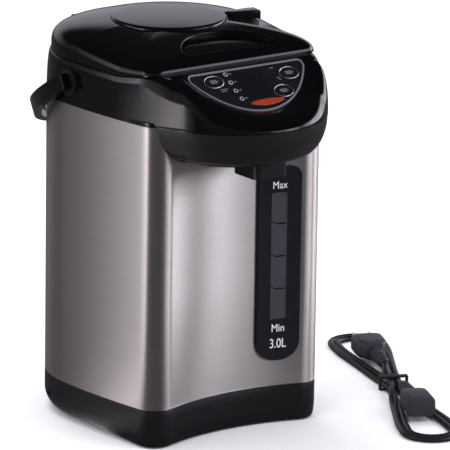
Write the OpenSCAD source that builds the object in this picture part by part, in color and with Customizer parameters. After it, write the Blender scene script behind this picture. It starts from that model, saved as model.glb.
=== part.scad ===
// Electric thermo pot: casing, head, lid, pump, heater and bail handle.
// Every module is drawn about the pot's vertical axis, with the front towards -Y.

/* [Body] */
// Half the width of the casing
half_w = 89.5; // [87:0.5:95]
// Radius of the casing's rear corners
rear_r = 80; // [76:1:84]
// Radius of the gently bulged sides
side_r = 600; // [500:10:800]
// Where the sides are widest, behind the axis
side_y = 10; // [8:0.5:12]
// Middle of the hollowed front wall
front_y = -83.5; // [-86:0.5:-81]
// Radius of the hollowed front wall
front_r = 180; // [170:1:200]
// Radius of the front corners
corner_r = 16; // [15:0.5:18]
// Thickness of the steel casing
casing_t = 0.8; // [0.6:0.1:1]
// Bottom of the steel casing
casing_z0 = 31; // [28:0.5:34]
// Top of the steel casing
casing_z1 = 253; // [248:1:258]
// Wall of the plastic mouldings
wall = 2.5; // [2:0.1:3]

/* [Base] */
// Height of the feet under the base
foot_h = 1.5; // [1.2:0.1:3]
// Radius of one foot
foot_r = 10; // [8:0.5:12]
// Distance of the feet from the middle, side to side
foot_x = 52; // [48:1:56]
// Distance of the feet from the middle, front to back
foot_y = 52; // [48:1:56]
// How far the base draws in at its lower edge, at the front corners
base_round = 2; // [1:0.5:6]
// How far the base draws in at its lower edge, at the sides and rear
base_round_rear = 13; // [9:0.5:14]
// Thickness of the base plate
plate_t = 2.5; // [2:0.1:3]
// Shank radius of a base screw
screw_r = 1.5; // [1.2:0.1:1.8]

/* [Head] */
// Height of the head band above the casing
band_h = 33; // [30:1:36]
// Radius of the round nose in plan
nose_r = 75; // [73:0.5:77]
// Middle of the nose, in front of the axis
nose_y = -80; // [-82:0.5:-78]
// Radius that blends the nose into the sides
blend_r = 200; // [180:5:230]
// Slope of the control panel
panel_slope = 39; // [36:0.5:42]
// Top edge of the control panel, in front of the axis
panel_y = -97; // [-99:0.5:-96]
// Radius of the round edge of the panel in plan
panel_r = 65.5; // [63:0.5:67]
// Distance the round edge reaches in front of the panel's top edge
panel_reach = 33; // [31:0.5:34]
// Thickness of the control panel
panel_t = 2; // [1.6:0.1:2.4]
// Height of the matt spout housing under the nose
housing_h = 26; // [23:1:29]

/* [Lid] */
// Front edge of the lid
lid_y = -88; // [-89:0.5:-87]
// Rise of the lid's crown above the panel's top edge
lid_rise = 21; // [19:0.5:23]
// Gap around the lid and the buttons
seam = 0.4; // [0.3:0.05:0.6]
// Height of the lid hinge's axis above the head band
hinge_up = 4; // [3.5:0.1:4.5]
// Distance of the lid hinge's axis behind the axis of the pot
hinge_y = 84.5; // [84:0.1:84.8]
// Radius of the lid hinge's knuckle
knuckle_r = 4.2; // [4:0.1:4.3]
// Radius of the lid hinge's pin
pin_r = 2; // [1.8:0.1:2.2]
// Running clearance of pins in their bores
running = 0.05; // [0.03:0.01:0.08]

/* [Pump] */
// Radius of the round pump button
button_r = 44.2; // [43:0.2:45]
// How far the pump button's crown stands above the lid
button_proud = 1.5; // [0.5:0.1:2]
// Travel of the pump button
pump_travel = 13; // [11:0.5:13]
// Radius of the pump bellows
bellows_r = 24; // [20:1:28]

/* [Inner pot] */
// Gap between the widest part of the casing and the inner pot
pot_gap = 14.5; // [13.5:0.5:17]
// Distance of the inner pot's axis behind the axis of the casing
pot_y = 5; // [3:0.5:6]
// Bottom of the inner pot
pot_z0 = 74; // [72:1:80]
// Thickness of the inner pot's steel
pot_t = 1.2; // [1:0.1:1.5]

/* [Handle] */
// Height of the handle's pivots
pivot_z = 270; // [268:0.5:272]
// Distance of the handle's pivots behind the axis
pivot_y = 6; // [4:0.5:8]
// Radius of the handle's pivot pins
pivot_r = 4; // [3.5:0.1:4.5]
// Angle of the handle below horizontal at rest
handle_drop = 28.5; // [27:0.5:32]
// Gap between the handle and the body
handle_gap = 3.2; // [3:0.1:4]
// Thickness of the handle's strap
strap_t = 6; // [5:0.5:7]
// Width of the handle's strap
strap_w = 12.5; // [11:0.5:15]

/* [Gauge] */
// Middle of the water gauge, to the right of the axis
gauge_x = 41; // [39:0.5:43]
// Width of the gauge panel
gauge_w = 34.5; // [32:0.5:38]
// Bottom of the gauge panel
gauge_z0 = 52; // [48:1:56]
// Thickness of the gauge panel
gauge_t = 3; // [2.5:0.1:4]
// Width of the gauge window
window_w = 13; // [11:0.5:15]
// Bottom of the gauge window
window_z0 = 85; // [82:1:90]
// Length of the gauge window
window_h = 101; // [96:1:104]

/* [Cord] */
// Radius of the power cord
cord_r = 2.5; // [2.4:0.1:2.8]

/* [Hidden] */
$fn = 96;

// The whole object's box is centred over this shift of the pot's axis.
handle_mid = 110;
frame_shift = [0, -(nose_y - nose_r + pivot_y + (handle_mid + strap_t / 2) * cos(handle_drop)
    + strap_w / 2 * sin(handle_drop)) / 2, 0];

// --- Outlines in plan ---
function polar(r, a) = r * [cos(a), sin(a)];
function arc(c, r, a0, a1, n, first = 1) =
    [for (i = [first:n]) c + polar(r, a0 + (a1 - a0) * i / n)];
function bearing(a, b) = atan2(b[1] - a[1], b[0] - a[0]);
// One of the two points at r1 from c1 and r2 from c2.
function meet(c1, r1, c2, r2) =
    let (d = c2 - c1, l = norm(d), u = d / l)
    let (a = (r1 * r1 - r2 * r2 + l * l) / (2 * l))
    let (h = sqrt(max(0, r1 * r1 - a * a)))
    c1 + a * u + h * [-u[1], u[0]];
function both_sides(right) = concat(right, [for (i = [len(right) - 1:-1:1]) [-right[i][0], right[i][1]]]);

pot_r = half_w - pot_gap;
front_c = [0, front_y - front_r];
side_c = [half_w - side_r, side_y];
rear_c = [half_w - rear_r, side_y];
corner_c = meet(side_c, side_r - corner_r, front_c, front_r + corner_r);
front_a = bearing(front_c, corner_c);
side_a = bearing(side_c, corner_c);

// The casing's outline, drawn in by t.
function body_plan(t = 0) = both_sides(concat(
    arc(front_c, front_r + t, 90, front_a, 10, 0),
    arc(corner_c, corner_r - t, front_a - 180, side_a, 8),
    arc(side_c, side_r - t, side_a, 0, 6),
    arc(rear_c, rear_r - t, 0, 90, 14)
));

nose_c = [0, nose_y];
blend_c = meet(side_c, side_r - blend_r, nose_c, blend_r - nose_r);
nose_a = bearing(blend_c, nose_c);
blend_a = bearing(side_c, blend_c);
nose_n = 12;
blend_n = 4;

// The head's outline with its round nose, drawn in by t; its side and rear match the casing's.
function head_right(t) = concat(
    arc(nose_c, nose_r - t, -90, nose_a, nose_n, 0),
    arc(blend_c, blend_r - t, nose_a, blend_a, blend_n),
    arc(side_c, side_r - t, blend_a, 0, 5),
    arc(rear_c, rear_r - t, 0, 90, 14)
);

head_z0 = casing_z1;
head_z1 = head_z0 + band_h;
panel_z = head_z1 + 5;
lid_crown = panel_z + lid_rise;
button_top = lid_crown + button_proud;
hinge_z = head_z1 + hinge_up;
panel_c = [0, panel_y - panel_reach + panel_r];
panel_a = asin((panel_y - panel_c[1]) / panel_r);
panel_half = panel_r * cos(panel_a);
function slope_z(y) = panel_z + (min(y, panel_y) - panel_y) * tan(panel_slope);

// Where the head's shoulders end: the panel's edge in front, the lid's seam at the sides.
shoulder = 3;
function crest_right(t) = let (side = head_right(shoulder + t)) concat(
    arc(panel_c, panel_r - t, -90, panel_a, nose_n, 0),
    [for (i = [1:blend_n]) let (f = min(1, 2 * i / blend_n))
        (1 - f) * [panel_half - t, panel_y] + f * side[nose_n + i]],
    [for (i = [nose_n + blend_n + 1:len(side) - 1]) side[i]]
);
// Height of the crest: the panel's slope in front, then a rise from the sides to the panel's top edge.
rise_y = -52;
function crest_z(y) = y < panel_y ? slope_z(y)
    : head_z1 + (panel_z - head_z1) * min(1, max(0, (rise_y - y) / (rise_y - lid_y)));

// One ring of the head's shoulder: s is 0 at the rim and 90 at the crest.
function shoulder_ring(t, s, z0) =
    let (rim = head_right(t), crest = crest_right(t))
    let (right = [for (i = [0:len(rim) - 1])
        let (p = rim[i] + (crest[i] - rim[i]) * (1 - cos(s)))
        let (top = crest_z(crest[i][1]) - t)
        [p[0], p[1], z0 + (top - z0) * sin(s)]])
    concat(right, [for (i = [len(right) - 1:-1:1]) [-right[i][0], right[i][1], right[i][2]]]);

function at_z(plan, z) = [for (p = plan) [p[0], p[1], z]];

// --- Solids from rings of points ---
// A solid through rings with equally many points, closed by flat ends.
module loft(rings) {
    n = len(rings[0]);
    m = len(rings);
    function middle(r) = [for (k = [0:2]) let (v = [for (p = r) p[k]]) v * [for (p = r) 1] / n];
    sides = [for (k = [0:m - 2]) for (i = [0:n - 1])
        let (a = k * n + i, b = k * n + (i + 1) % n)
        each [[a, b + n, b], [a, a + n, b + n]]];
    ends = [for (i = [0:n - 1]) let (j = (i + 1) % n)
        each [[i, j, m * n], [(m - 1) * n + j, (m - 1) * n + i, m * n + 1]]];
    polyhedron(points = concat([for (r = rings) each r], [middle(rings[0]), middle(rings[m - 1])]),
        faces = concat(sides, ends), convexity = 10);
}

// A hollow ring: the rings go up the outside and come down the inside, and the last joins the first.
module loft_loop(rings) {
    n = len(rings[0]);
    m = len(rings);
    faces = [for (k = [0:m - 1]) for (i = [0:n - 1])
        let (a = k * n + i, b = k * n + (i + 1) % n)
        let (c = ((k + 1) % m) * n + i, d = ((k + 1) % m) * n + (i + 1) % n)
        each [[a, d, b], [a, c, d]]];
    polyhedron(points = [for (r = rings) each r], faces = faces, convexity = 10);
}

module slab(plan, z0, z1) {
    translate([0, 0, z0]) linear_extrude(z1 - z0) polygon(plan);
}

// A tube swept along points, with a ring at each of them.
module swept(route, r, sides = 8) {
    rings = [for (i = [0:len(route) - 1])
        let (a = route[max(0, i - 1)], b = route[min(len(route) - 1, i + 1)])
        let (f = (b - a) / norm(b - a))
        let (u0 = cross(f, abs(f[2]) > 0.9 ? [1, 0, 0] : [0, 0, 1]))
        let (u = u0 / norm(u0), v = cross(f, u))
        [for (k = [0:sides - 1]) route[i] + r * (cos(360 * k / sides) * u + sin(360 * k / sides) * v)]];
    loft(rings);
}

// Points of a smooth curve through hand-set ones.
function spline(p, n) = [for (i = [0:len(p) - 2]) for (k = [0:(i == len(p) - 2 ? n : n - 1)])
    let (t = k / n, a = p[max(0, i - 1)], b = p[i], c = p[i + 1], d = p[min(len(p) - 1, i + 2)])
    0.5 * (2 * b + (c - a) * t + (2 * a - 5 * b + 4 * c - d) * t * t
        + (3 * b - a - 3 * c + d) * t * t * t)];

function ellipse(a, b, n = 40) = [for (i = [0:n - 1]) [a * cos(360 * i / n), b * sin(360 * i / n)]];
module x_rod(x0, x1, r) {
    translate([x0, 0, 0]) rotate([0, 90, 0]) cylinder(r = r, h = x1 - x0);
}

// --- Base ---
base_z0 = foot_h;
base_inner = wall + 0.5;
base_rise = 14;
boss_x = half_w - 19.5;
boss_y = 34;
boss_r = 4.5;
boss_h = 13;
// The base's outline at a share f of its full draw-in, with its wall drawn in by t.
function base_plan(f, t = 0) =
    let (front = body_plan(t + f * base_round), rear = body_plan(t + f * base_round_rear))
    [for (i = [0:len(front) - 1]) let (w = min(1, max(0, (front[i][1] + 80) / 60)))
        (1 - w) * front[i] + w * rear[i]];
module base_shell() {
    outer = [for (s = [0:15:90]) at_z(base_plan(1 - sin(s)),
        base_z0 + base_rise * (1 - cos(s)))];
    rim = [at_z(body_plan(0), casing_z0), at_z(body_plan(base_inner), casing_z0)];
    inner = [for (s = [90:-18:0]) at_z(base_plan((1 - sin(s)) * 0.85, base_inner),
        base_z0 + plate_t + base_rise * (1 - cos(s)))];
    lip = at_z(base_plan(0.85, base_inner), base_z0);
    color("#17181a") difference() {
        union() {
            loft_loop(concat(outer, rim, inner, [lip]));
            for (m = [0, 1]) mirror([m, 0, 0]) for (y = [-1, 1])
                translate([boss_x, y * boss_y, base_z0 + plate_t]) {
                    cylinder(r = boss_r, h = boss_h);
                    translate([0, -1, boss_h - 3]) cube([half_w - base_inner + 0.5 - boss_x, 2, 3]);
                }
        }
        for (x = [-1, 1]) for (y = [-1, 1])
            translate([x * boss_x, y * boss_y, base_z0]) cylinder(r = screw_r, h = boss_h + plate_t + 1);
        translate([-inlet_w / 2 - 0.2, inlet_y0, inlet_z0 - 0.2]) cube([inlet_w + 0.4, 50, inlet_h + 0.4]);
    }
}

module base_plate() {
    color("#202124") difference() {
        slab(base_plan(0.85, base_inner + 0.05), base_z0, base_z0 + plate_t);
        for (x = [-1, 1]) for (y = [-1, 1])
            translate([x * boss_x, y * boss_y, base_z0 - 1]) cylinder(r = screw_r + 0.2, h = plate_t + 2);
    }
}

module rubber_feet() {
    color("#101010") for (x = [-1, 1]) for (y = [-1, 1])
        translate([x * foot_x, y * foot_y, 0]) cylinder(r = foot_r, h = foot_h);
}

module base_screws() {
    color("#9a9a9a") for (x = [-1, 1]) for (y = [-1, 1])
        translate([x * boss_x, y * boss_y, 0]) {
            translate([0, 0, base_z0 - 1.4]) cylinder(r = screw_r * 2, h = 1.4);
            translate([0, 0, base_z0 - 0.1]) cylinder(r = screw_r, h = boss_h);
        }
}

// --- Casing and gauge ---
module outer_casing() {
    color("#b8b2aa") difference() {
        slab(body_plan(0), casing_z0, casing_z1);
        slab(body_plan(casing_t), casing_z0 - 1, casing_z1 + 1);
        // slot behind the gauge's window
        gauge_prism(window_w / 2 - 1, window_z0 + 1, window_z0 + window_h - 1, 1.5, 1.5);
    }
}

gauge_z1 = casing_z1 - housing_h - 20.5;
gauge_corner = 8;
function wall_y(x, proud) = front_c[1] + sqrt(pow(front_r - proud, 2) - x * x);
// The gauge's face in elevation: round below, square above.
function gauge_outline(half, z0, z1, r_low, r_high) = concat(
    arc([half - r_low, z0 + r_low], r_low, -90, 0, 8, 0),
    arc([half - r_high, z1 - r_high], r_high, 0, 90, 5, 0),
    arc([r_high - half, z1 - r_high], r_high, 90, 180, 5, 0),
    arc([r_low - half, z0 + r_low], r_low, 180, 270, 8, 0));
module gauge_prism(half, z0, z1, r_low, r_high) {
    translate([gauge_x, front_y + 20, 0]) rotate([90, 0, 0])
        linear_extrude(60) polygon(gauge_outline(half, z0, z1, r_low, r_high));
}
module wall_layer(inner, outer) {
    translate([0, front_c[1], 0]) difference() {
        translate([0, 0, gauge_z0 - 5]) cylinder(r = front_r - inner, h = 200, $fn = 240);
        translate([0, 0, gauge_z0 - 6]) cylinder(r = front_r - outer, h = 202, $fn = 240);
    }
}

module gauge_panel() {
    color("#121315") difference() {
        intersection() {
            gauge_prism(gauge_w / 2, gauge_z0, gauge_z1, gauge_w / 2 - 2, gauge_corner);
            wall_layer(0.06, gauge_t);
        }
        gauge_prism(window_w / 2, window_z0, window_z0 + window_h, 2, 2);
    }
}

module gauge_window() {
    color([0.75, 0.8, 0.82, 0.5]) intersection() {
        gauge_prism(window_w / 2 - 0.1, window_z0 + 0.1, window_z0 + window_h - 0.1, 1.9, 1.9);
        wall_layer(gauge_t - 1.6, gauge_t - 0.4);
    }
}

tube_r = 3;
tube_y = wall_y(gauge_x, 0) + casing_t + tube_r + 0.6;
tube_z0 = pot_z0 - 14;
tube_z1 = window_z0 + window_h + 8;
module sight_tube() {
    color([0.8, 0.85, 0.88, 0.5]) translate([gauge_x, tube_y, tube_z0]) difference() {
        cylinder(r = tube_r, h = tube_z1 - tube_z0, $fn = 32);
        translate([0, 0, -1]) cylinder(r = tube_r - 1, h = tube_z1 - tube_z0 + 2, $fn = 32);
    }
}

// --- Head ---
shelf_t = 3;
pit_w = 60;
pit_l = 20;
pit_y0 = -25;
module panel_place() {
    translate([0, panel_y, panel_z]) rotate([panel_slope, 0, 0]) children();
}
// The panel's outline in its own plane, grown by g.
function panel_outline(g) =
    let (k = 1 / cos(panel_slope), a = asin((panel_y + g - panel_c[1]) / (panel_r + g)))
    [for (p = arc(panel_c, panel_r + g, 180 - a, 360 + a, 36, 0)) [p[0], (p[1] - panel_y) * k]];

seat_r = 10.4;
seat_t = 1.2;
module head_housing() {
    outer = [for (s = [0:10:90]) shoulder_ring(0, s, head_z0)];
    inner = [for (s = [90:-15:0]) shoulder_ring(wall, s, head_z0)];
    color("#0b0b0c") difference() {
        union() {
            loft_loop(concat(outer, inner));
            // shelf that carries the inner pot
            slab(body_plan(casing_t + 0.2), head_z0, head_z0 + shelf_t);
            // nose floor
            intersection() {
                slab(both_sides(head_right(1)), head_z0, head_z0 + shelf_t);
                translate([-120, -200, 0]) cube([240, 200 + front_y, 400]);
            }
            // bridge between the lid and the panel, and the lip below it
            intersection() {
                slab(both_sides(head_right(6)), head_z0, panel_z);
                translate([-78, lid_y - 9, head_z0]) cube([156, 9, panel_z - head_z0]);
            }
            // seat of the panel
            panel_place() translate([0, 0, -panel_t - 2.6]) linear_extrude(3.8) polygon(panel_outline(0.9));
        }
        // mouth of the pot
        translate([0, pot_y, head_z0 - 1]) cylinder(r = pot_r + 0.5, h = shelf_t + 2);
        // hollow of the bridge
        translate([-70, lid_y - 20, head_z0 + shelf_t])
            cube([140, 20 - wall, panel_z - wall - 8 - head_z0 - shelf_t]);
        panel_place() {
            translate([0, 0, -panel_t - 0.1]) linear_extrude(40) polygon(panel_outline(0.15));
            translate([-pit_w / 2, pit_y0, -12]) cube([pit_w, pit_l, 12]);
        }
        // ways through for the hose
        translate([hose_x, hose_y, head_z0 - 1]) cylinder(r = hose_r + 2, h = shelf_t + 2, $fn = 32);
        translate([hose_lip_x, lid_y + 1, hose_z]) rotate([90, 0, 0])
            cylinder(r = hose_r + 2, h = 5, $fn = 32);
        // way through for the spout
        translate([0, spout_y, head_z0 - 1]) cylinder(r = spout_r + 1, h = shelf_t + 2);
        // rest of the hinge's knuckles
        translate([-ear_out - 0.5, hinge_y - 8, head_z1 - 0.8]) cube([2 * ear_out + 1, 20, 5]);
        // holes and seats of the handle's pivots
        translate([0, pivot_y, pivot_z]) x_rod(-half_w - 10, half_w + 10, pivot_r + 0.2);
        for (m = [0, 1]) mirror([m, 0, 0]) translate([0, pivot_y, pivot_z])
            x_rod(half_w - seat_t, half_w + 10, seat_r + 0.2);
    }
}

spout_y = -121;
spout_r = 8;
housing_in_front = 10;
housing_in_side = 16;
module spout_housing() {
    z1 = head_z0 - 0.2;
    z0 = z1 - housing_h;
    function ring(s, t) = let (fx = 1 - (1 - cos(s)) * housing_in_side / nose_r)
        let (fy = 1 - (1 - cos(s)) * housing_in_front / nose_r)
        [for (p = both_sides(head_right(0.3 + t))) [p[0] * fx, nose_y + (p[1] - nose_y) * fy]];
    color("#1c1d20") difference() {
        intersection() {
            loft([for (s = [90:-15:0]) at_z(ring(s, 0), z1 - (z1 - z0) * sin(s))]);
            translate([-120, -200, 0]) cube([240, 200 + front_y + 30, 400]);
        }
        intersection() {
            loft([for (s = [90:-15:0]) at_z(ring(s, wall), z1 + 1 - (z1 - z0 - wall) * sin(s))]);
            translate([-120, -200, 0]) cube([240, 200 + front_y - wall, 400]);
        }
        // the casing's front wall passes behind it
        slab(body_plan(-0.1), 0, 400);
        translate([0, spout_y, z0 - 1]) cylinder(r = spout_r + 1, h = 10);
    }
}

plate_drop = 3;
plate_in = 14;
plate_share = [0.9, 0.96];
module spout_plate() {
    z1 = head_z0 - 0.2 - housing_h;
    color("#141517") difference() {
        slab([for (p = both_sides(head_right(plate_in)))
            [p[0] * plate_share[0], nose_y + (p[1] - nose_y) * plate_share[1]]], z1 - plate_drop, z1);
        slab(body_plan(-0.1), 0, 400);
        translate([-120, front_y - 8, 0]) cube([240, 200, 400]);
        translate([0, spout_y, z1 - plate_drop - 1]) cylinder(r = spout_r + 1, h = 10);
    }
}

collar_h = 11;
collar_w = 30;
collar_outline = concat(
    arc([collar_w / 2 - 5, spout_y - 10], 5, -90, 0, 5, 0),
    arc([collar_w / 2 - 3, spout_y + 12], 3, 0, 90, 4, 0),
    arc([3 - collar_w / 2, spout_y + 12], 3, 90, 180, 4, 0),
    arc([5 - collar_w / 2, spout_y - 10], 5, 180, 270, 5, 0));
module spout_collar() {
    z1 = head_z0 - 0.2 - housing_h - plate_drop;
    color("#0f1012") difference() {
        slab(collar_outline, z1 - collar_h, z1);
        translate([0, spout_y, z1 - collar_h - 1]) cylinder(r = spout_r - 1.5, h = collar_h + 2);
    }
}

nozzle_z1 = head_z0 + 12;
module spout_nozzle() {
    z0 = head_z0 - 0.2 - housing_h - plate_drop - collar_h + 2;
    color("#d8d8d4") difference() {
        translate([0, spout_y, z0]) cylinder(r = spout_r - 1.6, h = nozzle_z1 - z0);
        translate([0, spout_y, z0 - 1]) cylinder(r = spout_r - 3.2, h = nozzle_z1 - z0 + 2);
        // clear of the panel's seat
        panel_place() translate([-50, -80, -panel_t - 5]) cube([100, 100, 40]);
    }
    color("#d8d8d4") translate([0, spout_y, head_z0 + shelf_t]) difference() {
        cylinder(r = spout_r + 2, h = 1.4);
        translate([0, 0, -1]) cylinder(r = spout_r - 1.7, h = 4);
    }
}

// --- Control panel ---
left_at = [-33.3, -9.5];
right_at = [36, -11.5];
lower_at = [22.5, -26.9];
button_a = 9;
button_b = 6;
lamp_at = [[-19, -4], [-18.6, -12], [-18.2, -20], [-17, -28]];
lamp_r = 1.2;
display_x = [-13, 12];
display_y = [-29, -4];
lens_at = [4, -34.5];
function lens_outline(g) = concat(
    arc([lens_at[0], lens_at[1] - 3 + 45], 45 + g, 270 - 20, 270 + 20, 10, 0),
    arc([lens_at[0], lens_at[1] + 3 - 80], 80 + g, 90 - 11, 90 + 11, 10, 0));

module panel_holes(g) {
    for (p = [left_at, right_at, lower_at]) translate(p) polygon(ellipse(button_a + 2 * g, button_b + 2 * g));
    for (p = lamp_at) translate(p) circle(r = lamp_r + g, $fn = 24);
    translate([display_x[0] - g, display_y[0] - g])
        square([display_x[1] - display_x[0] + 2 * g, display_y[1] - display_y[0] + 2 * g]);
    polygon(lens_outline(g));
}

module control_panel() {
    color("#101114") panel_place() translate([0, 0, -panel_t]) linear_extrude(panel_t) difference() {
        polygon(panel_outline(-0.9));
        panel_holes(0.15);
    }
}

module panel_trim() {
    color("#a9abad") panel_place() translate([0, 0, -panel_t]) linear_extrude(panel_t + 0.4) difference() {
        polygon(panel_outline(0));
        polygon(panel_outline(-0.85));
    }
}

module display_window() {
    color("#0c1d20") panel_place() translate([display_x[0], display_y[0], -panel_t])
        cube([display_x[1] - display_x[0], display_y[1] - display_y[0], panel_t]);
}

module indicator_lens() {
    color("#e0492c") panel_place() translate([0, 0, -panel_t])
        linear_extrude(panel_t + 0.5) polygon(lens_outline(0));
}

module indicator_lamps() {
    color("#dfe6e8") panel_place() for (p = lamp_at)
        translate([p[0], p[1], -panel_t]) cylinder(r = lamp_r, h = panel_t + 0.3, $fn = 24);
}

key_travel = 1;
module panel_key(p) {
    color("#c9ccd0") panel_place() translate([p[0], p[1], key_travel - panel_t + 0.1])
        linear_extrude(panel_t + 0.4) polygon(ellipse(button_a, button_b));
}
module button_left() {
    panel_key(left_at);
}
module button_right() {
    panel_key(right_at);
}
module button_lower() {
    panel_key(lower_at);
}

module panel_board() {
    color("#1d5a35") panel_place() translate([0.5 - pit_w / 2, 0.5 + pit_y0, -panel_t - 3.6])
        cube([pit_w - 1, pit_l - 1, board_t]);
}

// --- Inner pot, heating and pump ---
pot_rim_z = head_z0 + shelf_t;
gasket_z = pot_rim_z + 1.5;
pot_round = 10;
module inner_pot() {
    color("#c8c8c4") difference() {
        translate([0, pot_y, 0]) rotate_extrude() polygon(concat(
            [[0, pot_z0]],
            arc([pot_r - pot_round, pot_z0 + pot_round], pot_round, -90, 0, 8, 0),
            [[pot_r, pot_rim_z], [pot_r + 4, pot_rim_z], [pot_r + 4, gasket_z], [pot_r - pot_t, gasket_z]],
            arc([pot_r - pot_round, pot_z0 + pot_round], pot_round - pot_t, 0, -90, 8, 0),
            [[0, pot_z0 + pot_t]]));
        translate([pump_at[0], pump_at[1], pot_z0 - 1]) cylinder(r = 4.5, h = 4, $fn = 32);
    }
}

module pot_gasket() {
    color("#6b6b6b") translate([0, pot_y, 0]) rotate_extrude()
        translate([pot_r - 0.5, gasket_z]) square([4, 1.5]);
}

heater_h = 36;
module band_heater() {
    color("#8d8579") translate([0, pot_y, pot_z0 + 12]) difference() {
        cylinder(r = pot_r + 1.5, h = heater_h);
        translate([0, 0, -1]) cylinder(r = pot_r, h = heater_h + 2);
    }
}

module thermostat() {
    color("#d9d6cb") translate([-28, pot_y + 16, pot_z0 - 8]) {
        translate([0, 0, 2]) cylinder(r = 9, h = 6);
        cylinder(r = 6, h = 2);
    }
}

pump_at = [30, -8];
pump_z = 34;
pump_r = 17;
motor_r = 13;
module water_pump() {
    color("#dddddd") translate([pump_at[0], pump_at[1], 0]) difference() {
        union() {
            translate([0, 0, pump_z + 16]) cylinder(r = pump_r, h = 14);
            translate([0, 0, base_z0 + plate_t]) cylinder(r = motor_r, h = pump_z + 16 - base_z0 - plate_t);
            translate([0, 0, pump_z + 30]) cylinder(r = 6, h = pot_z0 - pump_z - 30);
        }
        translate([0, 0, pump_z + 18]) cylinder(r = pump_r - 2, h = 10);
        translate([0, 0, pump_z + 20]) cylinder(r = 4.5, h = 30);
        translate([0, 0, pump_z + 10]) cylinder(r = 1.5 + running, h = 12);
    }
}

module pump_impeller() {
    color("#f0f0ec") translate([pump_at[0], pump_at[1], 0]) {
        translate([0, 0, pump_z + 19]) cylinder(r = pump_r - 3.5, h = 1.6);
        translate([0, 0, pump_z + 11]) cylinder(r = 1.5, h = 9);
        for (k = [0:5]) rotate([0, 0, 60 * k]) translate([3, -0.8, pump_z + 20]) cube([10, 1.6, 5]);
    }
}

hose_r = 3.2;
hose_x = -8;
hose_y = pot_y - pot_r - hose_r - 4.2;
hose_z = head_z0 + shelf_t + hose_r + 1.6;
hose_lip_x = -2;
hose_route = [
    [pump_at[0], pump_at[1] - pump_r - 0.5, 57], [28, -32, 57], [22, -44, 57], [12, -54, 58],
    [2, -62, 62], [-4, -68, 68], [hose_x, -75.5, 80], [hose_x, hose_y, 96], [hose_x, hose_y, 130],
    [hose_x, hose_y, 170], [hose_x, hose_y, 210], [hose_x, hose_y, head_z0 - 8],
    [hose_x, hose_y - 1, hose_z - 5], [hose_lip_x - 3, hose_y - 6, hose_z - 0.3],
    [hose_lip_x, lid_y - 2, hose_z], [0, lid_y - 14, hose_z], [0, spout_y + spout_r - 1.5, hose_z]
];
module outlet_hose() {
    color([0.9, 0.9, 0.88]) swept(spline(hose_route, 4), hose_r, 10);
}

board_at = [-62, -30];
board_w = 52;
board_l = 54;
board_t = 1.6;
board_z = 30;
relay_w = 12;
relay_h = 14;
post_in = 3.5;
post_r = 2;
module power_board() {
    z0 = base_z0 + plate_t;
    color("#1f6b3a") translate([board_at[0], board_at[1], board_z]) cube([board_w, board_l, board_t]);
    color("#3a3a3a") for (x = [0, 1]) for (y = [0, 1])
        translate([board_at[0] + relay_w * (0.6 + 1.7 * x), board_at[1] + relay_w * (0.7 + 2.2 * y),
            board_z + board_t]) cube([relay_w, relay_w, relay_h]);
    color("#cfcfcf") for (x = [post_in, board_w - post_in]) for (y = [post_in, board_l - post_in])
        translate([board_at[0] + x, board_at[1] + y, z0]) cylinder(r = post_r, h = board_z - z0, $fn = 24);
}

inlet_w = 30;
inlet_h = 17;
inlet_z0 = 12;
inlet_y0 = 62;
inlet_y1 = 88.5;
module power_inlet() {
    color("#151515") difference() {
        translate([-inlet_w / 2, inlet_y0 + 0.2, inlet_z0])
            cube([inlet_w, inlet_y1 - inlet_y0 - 0.2, inlet_h]);
        translate([-inlet_w / 2 + 2, inlet_y0 + 8, inlet_z0 + 2]) cube([inlet_w - 4, 40, inlet_h - 4]);
    }
    color("#c8a050") for (x = [-7, 0, 7]) translate([x, inlet_y0 + 6, inlet_z0 + inlet_h / 2])
        rotate([-90, 0, 0]) cylinder(r = 1.6, h = 10, $fn = 24);
}

// --- Lid ---
lid_corner = 12;
lid_in = shoulder + seam;
// The lid's outline: straight in front, with the head's sides and rear, drawn in by t.
function lid_plan(t = 0) =
    let (cy = lid_y + seam + lid_corner)
    let (cx = side_c[0] + sqrt(pow(side_r - lid_in - lid_corner, 2) - pow(cy - side_y, 2)))
    let (c = [cx, cy], a = bearing(side_c, c))
    both_sides(concat([[0, cy - lid_corner + t]],
        [for (k = [1:5]) [k * cx / 6, cy - lid_corner + t]],
        arc(c, lid_corner - t, -90, a, 8, 0),
        arc(side_c, side_r - lid_in - t, a, 0, 6),
        arc(rear_c, rear_r - lid_in - t, 0, 90, 14)));
// The lid's lower edge follows the head's crest.
function lid_edge(y) = crest_z(max(y, lid_y)) + seam;
// The dome is full over the sides and flatter in front.
function dome_power(y) = 0.45 + 0.4 * min(1, max(0, -y / 70));
function dome_ring(t, s, top) = [for (p = lid_plan(t))
    [p[0] * cos(s), p[1] * cos(s), lid_edge(p[1]) + (top - lid_edge(p[1])) * pow(sin(s), dome_power(p[1]))]];
dome_steps = [0, 1, 3, 6, 10, 16, 23, 31, 40, 50, 62, 76, 85];
module dome(t, top) {
    loft(concat([at_z(lid_plan(t), 250)], [for (s = dome_steps) dome_ring(t, s, top)]));
}
// All that is lower than the lid's edge.
module below_edge() {
    z = head_z1 + seam;
    translate([-150, 0, 0]) rotate([90, 0, 90]) linear_extrude(300) polygon([
        [-200, 200], [200, 200], [200, z], [rise_y + 5, z], [lid_y, panel_z + seam], [-200, panel_z + seam]]);
}

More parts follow.
